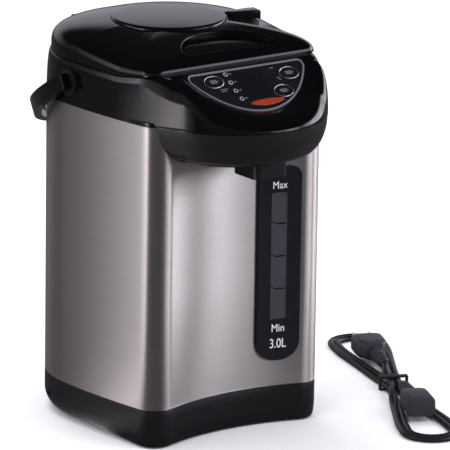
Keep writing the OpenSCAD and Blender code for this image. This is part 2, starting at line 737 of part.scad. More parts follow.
well_z = panel_z - 2;
well_floor = 2.5;
well_wall = 2.2;
recess_half = 43;
recess_y0 = -79;
recess_y1 = -48.3;
recess_z = panel_z + 3;
recess_r = (pow(recess_half, 2) + pow(recess_y1 - recess_y0, 2)) / (2 * (recess_y1 - recess_y0));
recess_c = [0, recess_y1 - recess_r];
function recess_outline(g) =
    let (a = asin((recess_y0 - g - recess_c[1]) / (recess_r + g)))
    arc(recess_c, recess_r + g, a, 180 - a, 24, 0);
lever_slot = 10;
lock_dir = -9.5;
lock_at = [66.5, -7];
lock_swing = 25;
lock_z = lid_crown - 5.6;
lock_hub = 7;
lock_h = 5.4;
lock_pocket_r = 19.6;
lock_tip = lock_at[0] - button_r - seam - well_wall - 1.2;
lock_end = 6.4;
// The wedge's outline about its pin, grown by g.
module lock_outline(g) {
    circle(r = lock_hub + g);
    polygon([[-lock_tip - g, -3.4 - g], [0, -lock_hub - g], [lock_end + g, 1 - lock_hub - g],
        [lock_end + g, lock_hub - 1 + g], [0, lock_hub + g], [-lock_tip - g, 3.4 + g]]);
}
// What it sweeps, with a gap of g round it.
module lock_sweep(g) {
    r = norm([lock_end, lock_hub - 1]) + g;
    reach = norm([lock_tip, 3.4]) + g;
    back = 180 - lock_swing - atan(4 / lock_tip);
    polygon(concat(
        [for (a = [-100:16:100]) [r * cos(a), r * sin(a)]],
        [for (a = [back:(184 + atan(3.4 / lock_tip) - back) / 4:190 + atan(3.4 / lock_tip)])
            [(reach + 0.3) * cos(a), (reach + 0.3) * sin(a)]]));
}
module lock_place() {
    rotate([0, 0, lock_dir]) translate([lock_at[0], lock_at[1], 0]) children();
}
notch_half = 31;
notch_y = hinge_y - 6;

module lid_cover() {
    color("#0c0c0d") difference() {
        union() {
            difference() {
                dome(0, lid_crown);
                translate([0, 0, -wall]) dome(wall, lid_crown);
            }
            intersection() {
                dome(0, lid_crown);
                union() {
                    translate([0, 0, well_z - well_floor]) cylinder(r = button_r + seam + well_wall, h = 60);
                    slab(recess_outline(2), recess_z - wall, 400);
                    lock_place() translate([0, 0, lock_z - wall]) cylinder(r = lock_pocket_r + 1.5, h = 20);
                }
            }
        }
        below_edge();
        translate([0, 0, well_z]) cylinder(r = button_r + seam, h = 60);
        slab(recess_outline(0), recess_z, 400);
        translate([-lever_slot, recess_y0 - 3, head_z0]) cube([2 * lever_slot, 12, recess_z + 4 - head_z0]);
        // pocket that the wedge sweeps, and the bore of its pin
        lock_place() {
            translate([0, 0, lock_z]) linear_extrude(20) lock_sweep(0.6);
            translate([0, 0, lock_z - 6]) cylinder(r = 1.6, h = 20, $fn = 32);
        }
        translate([-notch_half - seam, notch_y, 200]) cube([2 * (notch_half + seam), 40, 200]);
        // bores for the lever's pin
        translate([0, lever_y, lever_z]) x_rod(-recess_half - 3, recess_half + 3, lever_pin_r + 0.05);
    }
}

cup_r = pot_r - 5;
cup_z0 = pot_rim_z + 2;
inner_z = well_z - well_floor;
module inner_lid() {
    color("#bfc1c0") difference() {
        union() {
            slab(lid_plan(8), inner_z - 2.5, inner_z);
            translate([0, pot_y, cup_z0]) cylinder(r = cup_r, h = inner_z - 2.5 - cup_z0);
        }
        translate([0, pot_y, cup_z0 + 2]) cylinder(r = cup_r - 2, h = inner_z - 4.5 - cup_z0);
        translate([0, pot_y, 200]) cylinder(r = 12, h = 200);
        translate([-notch_half - seam, notch_y - 1.5, 200]) cube([2 * (notch_half + seam), 40, 200]);
        translate([-lever_slot - 1, -100, 200]) cube([2 * lever_slot + 2, 100 + recess_y0 + 10, 200]);
    }
}

module lid_gasket() {
    color("#7a7a78") translate([0, pot_y, gasket_z + 1.8]) difference() {
        cylinder(r = pot_r + 2, h = 3);
        translate([0, 0, -1]) cylinder(r = cup_r + 0.02, h = 5);
    }
}

ear_in = 22;
ear_out = 27;
module hinge_bracket() {
    color("#2a2b2e") for (m = [0, 1]) mirror([m, 0, 0]) difference() {
        union() {
            translate([ear_in, hinge_y - 3.2, pot_rim_z]) cube([ear_out - ear_in, 3, 18]);
            translate([ear_in, hinge_y - knuckle_r, pot_rim_z + 14])
                cube([ear_out - ear_in, 1.9, hinge_z - pot_rim_z - 14]);
            translate([0, hinge_y, hinge_z]) x_rod(ear_in, ear_out, knuckle_r);
        }
        translate([0, hinge_y, hinge_z]) x_rod(ear_in - 1, ear_out + 1, pin_r + 0.01);
    }
}

module hinge_pin() {
    color("#b0b0b0") translate([0, hinge_y, hinge_z]) x_rod(-ear_out - 1.5, ear_out + 1.5, pin_r);
}

module lid_hinge() {
    color("#2a2b2e") difference() {
        union() {
            translate([0, hinge_y, hinge_z]) x_rod(-ear_in + 0.4, ear_in - 0.4, knuckle_r);
            translate([-ear_in + 2, 52, inner_z]) cube([2 * ear_in - 4, hinge_y - 52, 3]);
        }
        translate([0, hinge_y, hinge_z]) x_rod(-ear_in - 1, ear_in + 1, pin_r + running);
    }
}

cover_top = hinge_z + 10.8;
cover_round = 4.5;
module hinge_cover() {
    y0 = notch_y + 0.3;
    y1 = hinge_y + 3.5;
    z0 = hinge_z + knuckle_r + 0.8;
    color("#101011") translate([-notch_half, 0, 0]) rotate([90, 0, 90]) linear_extrude(2 * notch_half)
        polygon(concat([[y0, z0], [y1, z0]],
            arc([y1 - cover_round, cover_top - cover_round], cover_round, 0, 90, 6, 0),
            [[y0, cover_top]]));
}

lever_y = -76.6;
lever_z = recess_z + 2.6;
lever_pin_r = 1.2;
hook_z = lever_z - 20.6;
hook_half = lever_slot - 1.5;
module lid_lever() {
    color("#1b1c1e") difference() {
        union() {
            intersection() {
                slab(recess_outline(-0.6), lever_z - 1.8, lever_z + 1.8);
                translate([-recess_half, recess_y0 + 0.6, 200]) cube([2 * recess_half, 12, 200]);
            }
            translate([-hook_half, recess_y0 + 0.4, hook_z]) cube([2 * hook_half, 3, lever_z - hook_z]);
            translate([-hook_half, recess_y0 - 1.6, hook_z]) cube([2 * hook_half, 4, 3]);
        }
        translate([0, lever_y, lever_z]) x_rod(-recess_half - 3, recess_half + 3, lever_pin_r + running);
    }
}

module lever_pin() {
    reach = recess_half + 1.8;
    color("#b0b0b0") translate([0, lever_y, lever_z]) x_rod(-reach, reach, lever_pin_r);
}

module latch_keeper() {
    color("#2a2b2e") translate([-lever_slot + 1, lid_y, hook_z + 2])
        cube([2 * lever_slot - 2, recess_y0 - 3 - lid_y, 4]);
}

// --- Pump button ---
skirt_z = well_z + pump_travel + 0.5;
button_roof = 5.5;
module pump_button() {
    dome_r = 700;
    color("#101011") difference() {
        rotate_extrude() difference() {
            polygon(concat([[0, skirt_z]], [[button_r, skirt_z]],
                arc([button_r - 1.6, button_top - 3], 1.6, 0, 75, 6, 0),
                [for (k = [9:-1:0]) let (x = button_r * k / 10)
                    [x, button_top - dome_r + sqrt(pow(dome_r, 2) - pow(x, 2))]]));
            translate([8, skirt_z - 1]) square([button_r - 10.2, button_top - button_roof - skirt_z + 1]);
        }
    }
}

bellows_z1 = button_top - button_roof - 0.3;
bellows_z0 = well_z + 0.3;
bellows_in = 4;
bellows_t = 1.5;
module pump_bellows() {
    folds = 4;
    pitch = (bellows_z1 - bellows_z0) / folds;
    function fold(k, r) = [[r - bellows_in, bellows_z0 + k * pitch], [r, bellows_z0 + (k + 0.5) * pitch]];
    outer = [for (k = [0:folds - 1]) each fold(k, bellows_r)];
    inner = [for (k = [0:folds - 1]) each fold(k, bellows_r - bellows_t)];
    color("#303030") rotate_extrude() polygon(concat(outer,
        [[bellows_r - bellows_in, bellows_z1], [bellows_r - bellows_t - bellows_in, bellows_z1]],
        [for (i = [len(inner) - 1:-1:0]) inner[i]]));
}

spring_r = 12;
spring_wire = 0.8;
module pump_spring() {
    turns = 4;
    z0 = well_z + spring_wire + 0.1;
    rise = (bellows_z1 - spring_wire - 0.1 - z0) / (360 * turns);
    coil = [for (a = [0:24:360 * turns]) [spring_r * cos(a), spring_r * sin(a), z0 + rise * a]];
    color("#b8b8b8") swept(coil, spring_wire, 6);
}

module pump_lock() {
    color("#141415") lock_place() translate([0, 0, lock_z + 0.3]) difference() {
        linear_extrude(lock_h) lock_outline(0);
        translate([0, 0, -1]) cylinder(r = 1.5 + running, h = 5, $fn = 32);
    }
}

module lock_pin() {
    color("#b0b0b0") lock_place() translate([0, 0, lock_z - 4]) cylinder(r = 1.5, h = 7.8, $fn = 32);
}

// --- Carrying handle ---
module handle_frame() {
    translate([0, pivot_y, pivot_z]) rotate([-handle_drop, 0, 0]) children();
}
strap_x = half_w + handle_gap;
strap_end = -6.2;
pin_skin = 1.4;
module carry_handle() {
    v0 = (side_y - pivot_y) / cos(handle_drop);
    function curve(x, v) =
        [for (a = [0:4:90]) [rear_c[0] + (x - rear_c[0]) * cos(a), v0 + (v - v0) * sin(a)]];
    x1 = strap_x + strap_t;
    outer = both_sides(concat([[0, strap_end]],
        arc([x1 - 1.5, strap_end + 1.5], 1.5, 270, 360, 4, 0), curve(x1, handle_mid + strap_t / 2)));
    inner = both_sides(concat([[0, -20]], [[strap_x, -20]], curve(strap_x, handle_mid - strap_t / 2)));
    color("#131314") handle_frame() difference() {
        translate([0, 0, -strap_w / 2]) linear_extrude(strap_w) difference() {
            polygon(outer);
            polygon(inner);
        }
        // blind bores that snap over the pins
        x_rod(pin_skin - x1, x1 - pin_skin, pivot_r + running);
    }
}

module handle_pivots() {
    inside = half_w - 0.8 - wall;
    color("#1a1a1b") for (m = [0, 1]) mirror([m, 0, 0]) translate([0, pivot_y, pivot_z]) {
        x_rod(inside - 4, strap_x + strap_t - pin_skin - 0.3, pivot_r);
        x_rod(inside - 4, inside - 1, pivot_r + 3);
        x_rod(half_w - seat_t + 0.1, half_w + seat_t, seat_r);
    }
}

// --- Power cord, lying beside the pot as a tied hank ---
hank_at = [174.4, -67.5];
hank_turn = 66;
hank_loop = 143;
hank_round = 23;
hank_strands = 2;
tie_w = 11;
module hank_place() {
    translate([hank_at[0], hank_at[1], 0]) rotate([0, 0, hank_turn]) children();
}
// Outline of one loop, drawn in by t.
function loop_outline(t) = concat([[4 + 2.5 * t, -tie_w + 4 + t / 3]],
    arc([hank_loop - hank_round, 0], hank_round - t, -80, 80, 14, 0), [[4 + 2.5 * t, tie_w - 4 - t / 3]]);
module cord_hank() {
    width = 2 * cord_r * hank_strands + 0.4;
    color("#1b1b1d") hank_place() difference() {
        union() {
            for (m = [0, 1]) mirror([m, 0, 0]) linear_extrude(2 * cord_r) difference() {
                polygon(loop_outline(0));
                polygon(loop_outline(width));
            }
            translate([-28, -tie_w + 1, 0]) cube([56, 2 * tie_w - 2, 4 * cord_r]);
        }
        translate([-3, -20, -1]) cube([6, 40, 1.7]);
    }
}

module cord_tie() {
    color("#0e0e0e") hank_place() translate([-2.5, 0, 0]) rotate([90, 0, 90]) linear_extrude(5) difference() {
        translate([-tie_w - 0.6, 0]) square([2 * tie_w + 1.2, 4 * cord_r + 1.6]);
        translate([-tie_w + 0.9, 0.6]) square([2 * tie_w - 1.8, 4 * cord_r - 0.5]);
    }
}

plug_z = 2 * cord_r + 0.2;
relief_l = 32;
module strain_relief(z) {
    translate([28.1, 0, z]) rotate([0, 90, 0]) {
        cylinder(r1 = cord_r + 0.6, r2 = cord_r + 2.6, h = relief_l);
        for (k = [0:4]) translate([0, 0, 6 + 5 * k]) cylinder(r = cord_r + 2.4 + 0.25 * k, h = 2.4);
    }
}
module mains_plug() {
    h = 15;
    z = plug_z + h / 2;
    color("#232227") hank_place() {
        strain_relief(z);
        translate([28 + relief_l, 0, plug_z]) linear_extrude(h) polygon(concat(
            [[0, -8]], arc([9, -9], 4, 250, 270, 3, 0), arc([30, -9], 4, 270, 360, 5, 0),
            arc([30, 9], 4, 0, 90, 5, 0), arc([9, 9], 4, 90, 110, 3, 0), [[0, 8]]));
    }
    color("#c9c6bd") hank_place() {
        for (y = [-6.35, 6.35]) translate([28 + relief_l + 33, y - 0.75, z - 3.2 + 2]) cube([18, 1.5, 6.4]);
        translate([28 + relief_l + 33, 0, z - 4]) rotate([0, 90, 0]) cylinder(r = 2.4, h = 21, $fn = 24);
    }
}

module pot_connector() {
    h = 15;
    color("#232227") hank_place() mirror([1, 0, 0]) {
        strain_relief(plug_z + h / 2);
        translate([28 + relief_l, -11, plug_z]) difference() {
            cube([32, 22, h]);
            for (y = [4, 11, 18]) translate([22, y, h / 2]) rotate([0, 90, 0])
                cylinder(r = 2, h = 20, $fn = 24);
        }
    }
}

translate(frame_shift) base_shell();
translate(frame_shift) base_plate();
translate(frame_shift) rubber_feet();
translate(frame_shift) base_screws();
translate(frame_shift) outer_casing();
translate(frame_shift) gauge_panel();
translate(frame_shift) gauge_window();
translate(frame_shift) sight_tube();
translate(frame_shift) head_housing();
translate(frame_shift) spout_housing();
translate(frame_shift) spout_plate();
translate(frame_shift) spout_collar();
translate(frame_shift) spout_nozzle();
translate(frame_shift) control_panel();
translate(frame_shift) panel_trim();
translate(frame_shift) display_window();
translate(frame_shift) indicator_lens();
translate(frame_shift) indicator_lamps();
translate(frame_shift) button_left();
translate(frame_shift) button_right();
translate(frame_shift) button_lower();
translate(frame_shift) panel_board();
translate(frame_shift) inner_pot();
translate(frame_shift) pot_gasket();
translate(frame_shift) band_heater();
translate(frame_shift) thermostat();
translate(frame_shift) water_pump();
translate(frame_shift) pump_impeller();
translate(frame_shift) outlet_hose();
translate(frame_shift) power_board();
translate(frame_shift) power_inlet();
translate(frame_shift) hinge_bracket();
translate(frame_shift) hinge_pin();
translate(frame_shift) lid_cover();
translate(frame_shift) inner_lid();
translate(frame_shift) lid_gasket();
translate(frame_shift) lid_hinge();
translate(frame_shift) hinge_cover();
translate(frame_shift) lid_lever();
translate(frame_shift) lever_pin();
translate(frame_shift) latch_keeper();
translate(frame_shift) pump_button();
translate(frame_shift) pump_bellows();
translate(frame_shift) pump_spring();
translate(frame_shift) pump_lock();
translate(frame_shift) lock_pin();
translate(frame_shift) carry_handle();
translate(frame_shift) handle_pivots();
translate(frame_shift) cord_hank();
translate(frame_shift) mains_plug();
translate(frame_shift) pot_connector();
translate(frame_shift) cord_tie();
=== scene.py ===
import bpy, bmesh, math
import numpy as np
from mathutils import Vector, Matrix

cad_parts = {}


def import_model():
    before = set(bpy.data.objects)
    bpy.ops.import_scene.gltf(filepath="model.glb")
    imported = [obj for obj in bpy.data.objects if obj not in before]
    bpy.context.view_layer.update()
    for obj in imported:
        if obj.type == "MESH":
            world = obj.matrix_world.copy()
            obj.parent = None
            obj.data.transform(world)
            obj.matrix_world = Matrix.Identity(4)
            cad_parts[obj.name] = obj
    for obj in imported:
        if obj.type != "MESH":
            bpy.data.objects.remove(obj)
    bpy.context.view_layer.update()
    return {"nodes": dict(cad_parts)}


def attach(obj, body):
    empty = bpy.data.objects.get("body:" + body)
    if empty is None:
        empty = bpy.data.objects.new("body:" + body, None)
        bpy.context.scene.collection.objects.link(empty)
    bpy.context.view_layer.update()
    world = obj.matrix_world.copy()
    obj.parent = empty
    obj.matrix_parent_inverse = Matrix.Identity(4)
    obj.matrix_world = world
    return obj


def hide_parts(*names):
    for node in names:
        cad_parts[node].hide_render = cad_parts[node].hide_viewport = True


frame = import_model()
NODE = frame["nodes"]
MM = 0.001
SHIFT = 23.3557
scene = bpy.context.scene


def world(points):
    """Millimetres about the pot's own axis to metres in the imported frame."""
    p = np.asarray(points, float).reshape(-1, 3).copy()
    p[:, 1] += SHIFT
    return p * MM


# --- Camera, at the photograph's angle ---
AZ, DIST, HIGH, ROLL = math.radians(-35.88593501), 4.1990026, 1.2862814, math.radians(0.82534)
AIM_RIGHT, AIM_Z, NUDGE_X, LENS, SENSOR = 0.04269853, 0.14546393, 0.0035, 448.52, 36
aim = Vector((AIM_RIGHT * math.cos(AZ) + NUDGE_X, AIM_RIGHT * math.sin(AZ) + SHIFT * MM, AIM_Z))
cam = bpy.data.objects.new("camera", bpy.data.cameras.new("camera"))
scene.collection.objects.link(cam)
cam.data.lens, cam.data.sensor_width = LENS, SENSOR
cam.data.clip_start, cam.data.clip_end = 0.1, 60
cam.location = (DIST * math.sin(AZ) + NUDGE_X, -DIST * math.cos(AZ) + SHIFT * MM, HIGH)
look = (aim - cam.location).to_track_quat("-Z", "Y").to_matrix().to_4x4()
cam.matrix_world = Matrix.Translation(cam.location) @ look @ Matrix.Rotation(ROLL, 4, "Z")
scene.camera = cam


# --- Materials ---
def material(name, color, rough, metal=0.0, vary=0.0, grain=(60, 60, 60), bump=0.0, bump_scale=None,
             rough_vary=0.05, coat=0.0, aniso=0.0, spec=0.5, trans=0.0, ior=1.5):
    """A surface whose colour and roughness vary with one noise, and whose bump follows a second one."""
    m = bpy.data.materials.new(name)
    m.use_nodes = True
    nt = m.node_tree
    n, link = nt.nodes, nt.links.new
    b = n["Principled BSDF"]
    b.inputs["Metallic"].default_value = metal
    b.inputs["Coat Weight"].default_value = coat
    b.inputs["Coat Roughness"].default_value = 0.04
    b.inputs["Anisotropic"].default_value = aniso
    b.inputs["Anisotropic Rotation"].default_value = 0.25
    b.inputs["Specular IOR Level"].default_value = spec
    b.inputs["IOR"].default_value = ior
    b.inputs["Transmission Weight"].default_value = trans
    tc = n.new("ShaderNodeTexCoord")
    mp = n.new("ShaderNodeMapping")
    mp.inputs["Scale"].default_value = grain
    link(tc.outputs["Object"], mp.inputs["Vector"])
    tex = n.new("ShaderNodeTexNoise")
    tex.inputs["Scale"].default_value = 1.0
    tex.inputs["Detail"].default_value = 4.0
    link(mp.outputs["Vector"], tex.inputs["Vector"])
    ramp = n.new("ShaderNodeValToRGB")
    lo = [max(0.0, c * (1 - vary)) for c in color[:3]] + [1]
    hi = [min(1.0, c * (1 + vary)) for c in color[:3]] + [1]
    ramp.color_ramp.elements[0].color, ramp.color_ramp.elements[1].color = lo, hi
    ramp.color_ramp.elements[0].position, ramp.color_ramp.elements[1].position = 0.3, 0.7
    link(tex.outputs["Fac"], ramp.inputs["Fac"])
    link(ramp.outputs["Color"], b.inputs["Base Color"])
    rr = n.new("ShaderNodeMapRange")
    rr.inputs["To Min"].default_value, rr.inputs["To Max"].default_value = rough - rough_vary, rough + rough_vary
    link(tex.outputs["Fac"], rr.inputs["Value"])
    link(rr.outputs["Result"], b.inputs["Roughness"])
    if bump:
        t2 = n.new("ShaderNodeTexNoise")
        mp2 = n.new("ShaderNodeMapping")
        mp2.inputs["Scale"].default_value = bump_scale or grain
        link(tc.outputs["Object"], mp2.inputs["Vector"])
        link(mp2.outputs["Vector"], t2.inputs["Vector"])
        t2.inputs["Scale"].default_value, t2.inputs["Detail"].default_value = 1.0, 3.0
        bp = n.new("ShaderNodeBump")
        bp.inputs["Strength"].default_value = bump
        bp.inputs["Distance"].default_value = 0.0002
        link(t2.outputs["Fac"], bp.inputs["Height"])
        link(bp.outputs["Normal"], b.inputs["Normal"])
    return m


FINE = (900, 900, 900)
BLACK = (0.0016, 0.0016, 0.0022)
POLISHED = {"vary": 0.1, "grain": (25, 25, 25), "rough_vary": 0.015}
MOULDED = {"grain": FINE, "bump_scale": (2600, 2600, 2600), "spec": 0.3}
M = {
    "steel": material("brushed_steel", (0.62, 0.582, 0.562), 0.38, 1.0, 0.05, (30, 30, 2600), 0.10, (20, 20, 4200),
                      0.04, aniso=0.95),
    "gloss": material("gloss_black", BLACK, 0.07, spec=0.3, **POLISHED),
    "well": material("recess_black", BLACK, 0.2, spec=0.15, **POLISHED),
    "satin": material("matt_black", (0.0065, 0.0065, 0.0075), 0.36, vary=0.12, bump=0.12, **MOULDED),
    "base": material("base_black", (0.005, 0.005, 0.0065), 0.33, vary=0.1, bump=0.15, **MOULDED),
    "rubber": material("rubber", (0.014, 0.014, 0.014), 0.75, vary=0.15, grain=FINE, bump=0.3,
                       bump_scale=(1800, 1800, 1800)),
    "seal": material("silicone", (0.32, 0.32, 0.32), 0.55, vary=0.06, grain=(200, 200, 200), bump=0.1),
    "clear": material("clear_window", (0.21, 0.21, 0.25), 0.08, vary=0.03, grain=(80, 80, 80), trans=0.85,
                      ior=1.45),
    "tube": material("clear_tube", (0.75, 0.78, 0.8), 0.08, vary=0.03, grain=(80, 80, 80), trans=0.9,
                     ior=1.45),
    "trim": material("bright_trim", (0.13, 0.135, 0.145), 0.34, 0.2, 0.04, (300, 300, 300), 0.04),
    "ring": material("key_ring", (0.62, 0.63, 0.65), 0.22, 1.0, 0.04, (300, 300, 300), 0.03),
    "film": material("panel_film", (0.006, 0.006, 0.008), 0.16, vary=0.1, grain=(40, 40, 40), coat=0.2, bump=0.02),
    "glass": material("display_glass", (0.004, 0.005, 0.006), 0.06, vary=0.05, grain=(40, 40, 40), coat=0.5),
    "red": material("red_lens", (0.25, 0.027, 0.010), 0.24, vary=0.08, grain=(220, 220, 220), coat=0.4),
    "lamp": material("lamp_ring", (0.42, 0.45, 0.47), 0.3, vary=0.05, grain=(300, 300, 300)),
    "ink": material("printed_marks", (0.62, 0.64, 0.66), 0.5, vary=0.04, grain=FINE),
    "dim_ink": material("small_marks", (0.16, 0.17, 0.18), 0.5, vary=0.04, grain=FINE),
    "inner": material("inner_steel", (0.62, 0.62, 0.61), 0.3, 1.0, 0.05, (60, 60, 1200), 0.08, aniso=0.4),
    "screw": material("plain_steel", (0.5, 0.5, 0.5), 0.32, 1.0, 0.06, (400, 400, 400), 0.06),
    "mica": material("mica_band", (0.42, 0.37, 0.30), 0.5, 0.3, 0.2, (120, 120, 400), 0.2),
    "white": material("white_moulding", (0.72, 0.72, 0.70), 0.4, vary=0.04, grain=FINE, bump=0.06),
    "board": material("green_laminate", (0.03, 0.16, 0.07), 0.35, vary=0.15, grain=(600, 600, 600), bump=0.1),
    "cord": material("cord_sheath", (0.011, 0.011, 0.013), 0.38, vary=0.12, grain=FINE, bump=0.1,
                     bump_scale=(1500, 1500, 1500)),
    "plug": material("plug_moulding", (0.030, 0.027, 0.036), 0.42, vary=0.1, grain=FINE, bump=0.2,
                     bump_scale=(1800, 1800, 1800)),
    "blade": material("plug_blades", (0.60, 0.57, 0.52), 0.3, 0.25, 0.05, (500, 500, 500), 0.08),
    "tie": material("wire_tie", (0.010, 0.010, 0.011), 0.5, vary=0.1, grain=FINE, bump=0.1),
}

# --- The pot's outlines, as in the CAD source, with more points ---
HALF_W, REAR_R, SIDE_R, SIDE_Y = 89.5, 80, 600, 10
FRONT_Y, FRONT_R, CORNER_R = -83.5, 180, 16
CASING_Z1, BAND_H = 253, 33
NOSE_R, NOSE_Y, BLEND_R = 75, -80, 200
SLOPE, PANEL_Y, PANEL_R, PANEL_REACH = 39, -97, 65.5, 33
LID_Y, LID_CROWN, SEAM, SHOULDER = -88, 312, 0.4, 3
HEAD_Z1 = CASING_Z1 + BAND_H
PANEL_Z = HEAD_Z1 + 5
RISE_Y = -52
FRONT_N, CORNER_N, NOSE_N, BLEND_N, SIDE_N, REAR_N = 24, 28, 48, 16, 14, 40


def sin(degrees):
    return math.sin(math.radians(degrees))


def cos(degrees):
    return math.cos(math.radians(degrees))


def tan(degrees):
    return math.tan(math.radians(degrees))


def arc(c, r, a0, a1, n, first=1):
    """Points of an arc about c from a0 to a1 degrees, in n steps; first=1 leaves the start out."""
    return [(c[0] + r * cos(a0 + (a1 - a0) * i / n), c[1] + r * sin(a0 + (a1 - a0) * i / n))
            for i in range(first, n + 1)]


def bearing(a, b):
    """Direction from a to b in degrees."""
    return math.degrees(math.atan2(b[1] - a[1], b[0] - a[0]))


def meet(c1, r1, c2, r2):
    """Where two circles cross, on the left of the way from c1 to c2."""
    c1, c2 = np.array(c1, float), np.array(c2, float)
    d = c2 - c1
    length = np.linalg.norm(d)
    u = d / length
    a = (r1 * r1 - r2 * r2 + length * length) / (2 * length)
    h = math.sqrt(max(0, r1 * r1 - a * a))
    return c1 + a * u + h * np.array([-u[1], u[0]])


def both_sides(right):
    """An outline from its right half, which starts on the middle line."""
    return right + [(-x, y) for x, y in right[:0:-1]]


front_c = (0, FRONT_Y - FRONT_R)
side_c, rear_c = (HALF_W - SIDE_R, SIDE_Y), (HALF_W - REAR_R, SIDE_Y)
corner_c = meet(side_c, SIDE_R - CORNER_R, front_c, FRONT_R + CORNER_R)
front_a, side_a = bearing(front_c, corner_c), bearing(side_c, corner_c)
nose_c = (0, NOSE_Y)
blend_c = meet(side_c, SIDE_R - BLEND_R, nose_c, BLEND_R - NOSE_R)
nose_a, blend_a = bearing(blend_c, nose_c), bearing(side_c, blend_c)
panel_c = (0, PANEL_Y - PANEL_REACH + PANEL_R)
panel_a = math.degrees(math.asin((PANEL_Y - panel_c[1]) / PANEL_R))
panel_half = PANEL_R * cos(panel_a)


def body_plan(t=0.0):
    """The casing's outline, t inside its face."""
    return both_sides(arc(front_c, FRONT_R + t, 90, front_a, FRONT_N, 0)
                      + arc(corner_c, CORNER_R - t, front_a - 180, side_a, CORNER_N)
                      + arc(side_c, SIDE_R - t, side_a, 0, SIDE_N) + arc(rear_c, REAR_R - t, 0, 90, REAR_N))


def head_right(t):
    """The right half of the head's outline, t inside its face."""
    return (arc(nose_c, NOSE_R - t, -90, nose_a, NOSE_N, 0) + arc(blend_c, BLEND_R - t, nose_a, blend_a, BLEND_N)
            + arc(side_c, SIDE_R - t, blend_a, 0, SIDE_N) + arc(rear_c, REAR_R - t, 0, 90, REAR_N))


def ease(f):
    """0 to 1 with soft ends."""
    f = min(1.0, max(0.0, f))
    return f * f * (3 - 2 * f)


def crest_right(t):
    """The right half of the edge where the shoulder meets the panel and the lid."""
    side = head_right(SHOULDER + t)
    out = arc(panel_c, PANEL_R - t, -90, panel_a, NOSE_N, 0)
    for i in range(1, BLEND_N + 1):
        f = min(1.0, 2 * i / BLEND_N)
        s = side[NOSE_N + i]
        out.append(((1 - f) * (panel_half - t) + f * s[0], (1 - f) * PANEL_Y + f * s[1]))
    return out + side[NOSE_N + BLEND_N + 1:]


def slope_z(y):
    """Height of the panel's plane."""
    return PANEL_Z + (min(y, PANEL_Y) - PANEL_Y) * tan(SLOPE)


def crest_z(y):
    """Height of the shoulder's upper edge."""
    if y < PANEL_Y:
        return slope_z(y)
    return HEAD_Z1 + (PANEL_Z - HEAD_Z1) * min(1.0, max(0.0, (RISE_Y - y) / (RISE_Y - LID_Y)))


# --- Mesh helpers ---
def piece(name, verts, faces, mat, body="root", slot=None, smooth=True, sharp=None):
    """A mesh from points in metres; sharp is the angle over which its edges stay sharp."""
    me = bpy.data.meshes.new(name)
    me.from_pydata([tuple(v) for v in verts], [], [tuple(f) for f in faces])
    me.validate()
    bm = bmesh.new()
    bm.from_mesh(me)
    bmesh.ops.recalc_face_normals(bm, faces=bm.faces)
    bm.to_mesh(me)
    bm.free()
    for p in me.polygons:
        p.use_smooth = smooth
    if sharp:
        me.set_sharp_from_angle(angle=math.radians(sharp))
    o = bpy.data.objects.new(name, me)
    scene.collection.objects.link(o)
    me.materials.append(M[mat])
    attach(o, body)
    return o


def loft(name, rings, mat, close=False, cap=(False, False), **kw):
    """Rings are lists of points in millimetres about the pot's axis; close joins the last ring to the first."""
    n, m = len(rings[0]), len(rings)
    v = world([p for r in rings for p in r])
    faces = []
    for k in range(m if close else m - 1):
        for i in range(n):
            a, b = k * n + i, k * n + (i + 1) % n
            c, d = ((k + 1) % m) * n + i, ((k + 1) % m) * n + (i + 1) % n
            faces.append((a, b, d, c))
    if cap[0]:
        faces.append(tuple(range(n)))
    if cap[1]:
        faces.append(tuple(range((m - 1) * n, m * n)))
    return piece(name, v, faces, mat, **kw)


def at_z(plan, z):
    return [(x, y, z) for x, y in plan]


def lathe(name, profile, mat, n=96, **kw):
    """A piece turned about the pot's axis: the profile's points are (radius, height)."""
    rings = [[(r * math.cos(2 * math.pi * i / n), r * math.sin(2 * math.pi * i / n), z) for i in range(n)]
             for r, z in profile]
    return loft(name, rings, mat, **kw)


def drop_faces(o, dead):
    """Deletes the faces whose centre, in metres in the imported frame, passes the test."""
    bm = bmesh.new()
    bm.from_mesh(o.data)
    bmesh.ops.delete(bm, geom=[f for f in bm.faces if dead(f.calc_center_median())], context="FACES")
    bm.to_mesh(o.data)
    bm.free()


def cut_window(o, low, high):
    """Opens both walls of a closed skin from corner low to corner high, and joins the walls round the opening."""
    bm = bmesh.new()
    bm.from_mesh(o.data)
    for corner in (low, high):
        for normal in ((1, 0, 0), (0, 0, 1)):
            centres = [(f, f.calc_center_median()) for f in bm.faces]
            near = [f for f, c in centres if c.y > low.y and abs(c.x) < 2 * high.x]
            rims = [e for f in near for e in f.edges] + [v for f in near for v in f.verts]
            near += dict.fromkeys(rims)
            bmesh.ops.bisect_plane(bm, geom=near, plane_co=corner, plane_no=normal)
    dead = [f for f in bm.faces if all(a < c < b for a, c, b in zip(low, f.calc_center_median(), high))]
    bmesh.ops.delete(bm, geom=dead, context="FACES")
    bmesh.ops.bridge_loops(bm, edges=[e for e in bm.edges if e.is_boundary])
    bmesh.ops.recalc_face_normals(bm, faces=bm.faces)
    bm.to_mesh(o.data)
    bm.free()


# --- Casing and base: the profiles' points are (inset, height) ---
PROUD = 0.08
CASING_PROFILE = [(-PROUD, 252.6), (-PROUD, 200), (-PROUD, 120), (-PROUD, 32), (0.12, 31.5), (0.45, 31.3),
                  (0.55, 120), (0.55, 252.6)]
loft("steel_skin", [at_z(body_plan(t), z) for t, z in CASING_PROFILE], "steel", close=True, slot="steel_casing",
     sharp=50)
BASE_Z0, BASE_ROUND, BASE_IN_FRONT, BASE_IN_REAR = 1.5, 14, 2, 13
BASE_PROFILE = [(-PROUD, 22), (-PROUD, 29.7), (0.05, 30.2), (0.5, 30.5), (2, 30.5), (2, 22)]
INLET_LOW, INLET_HIGH = (-15.2, 60, 11.8), (15.2, 100, 29.2)


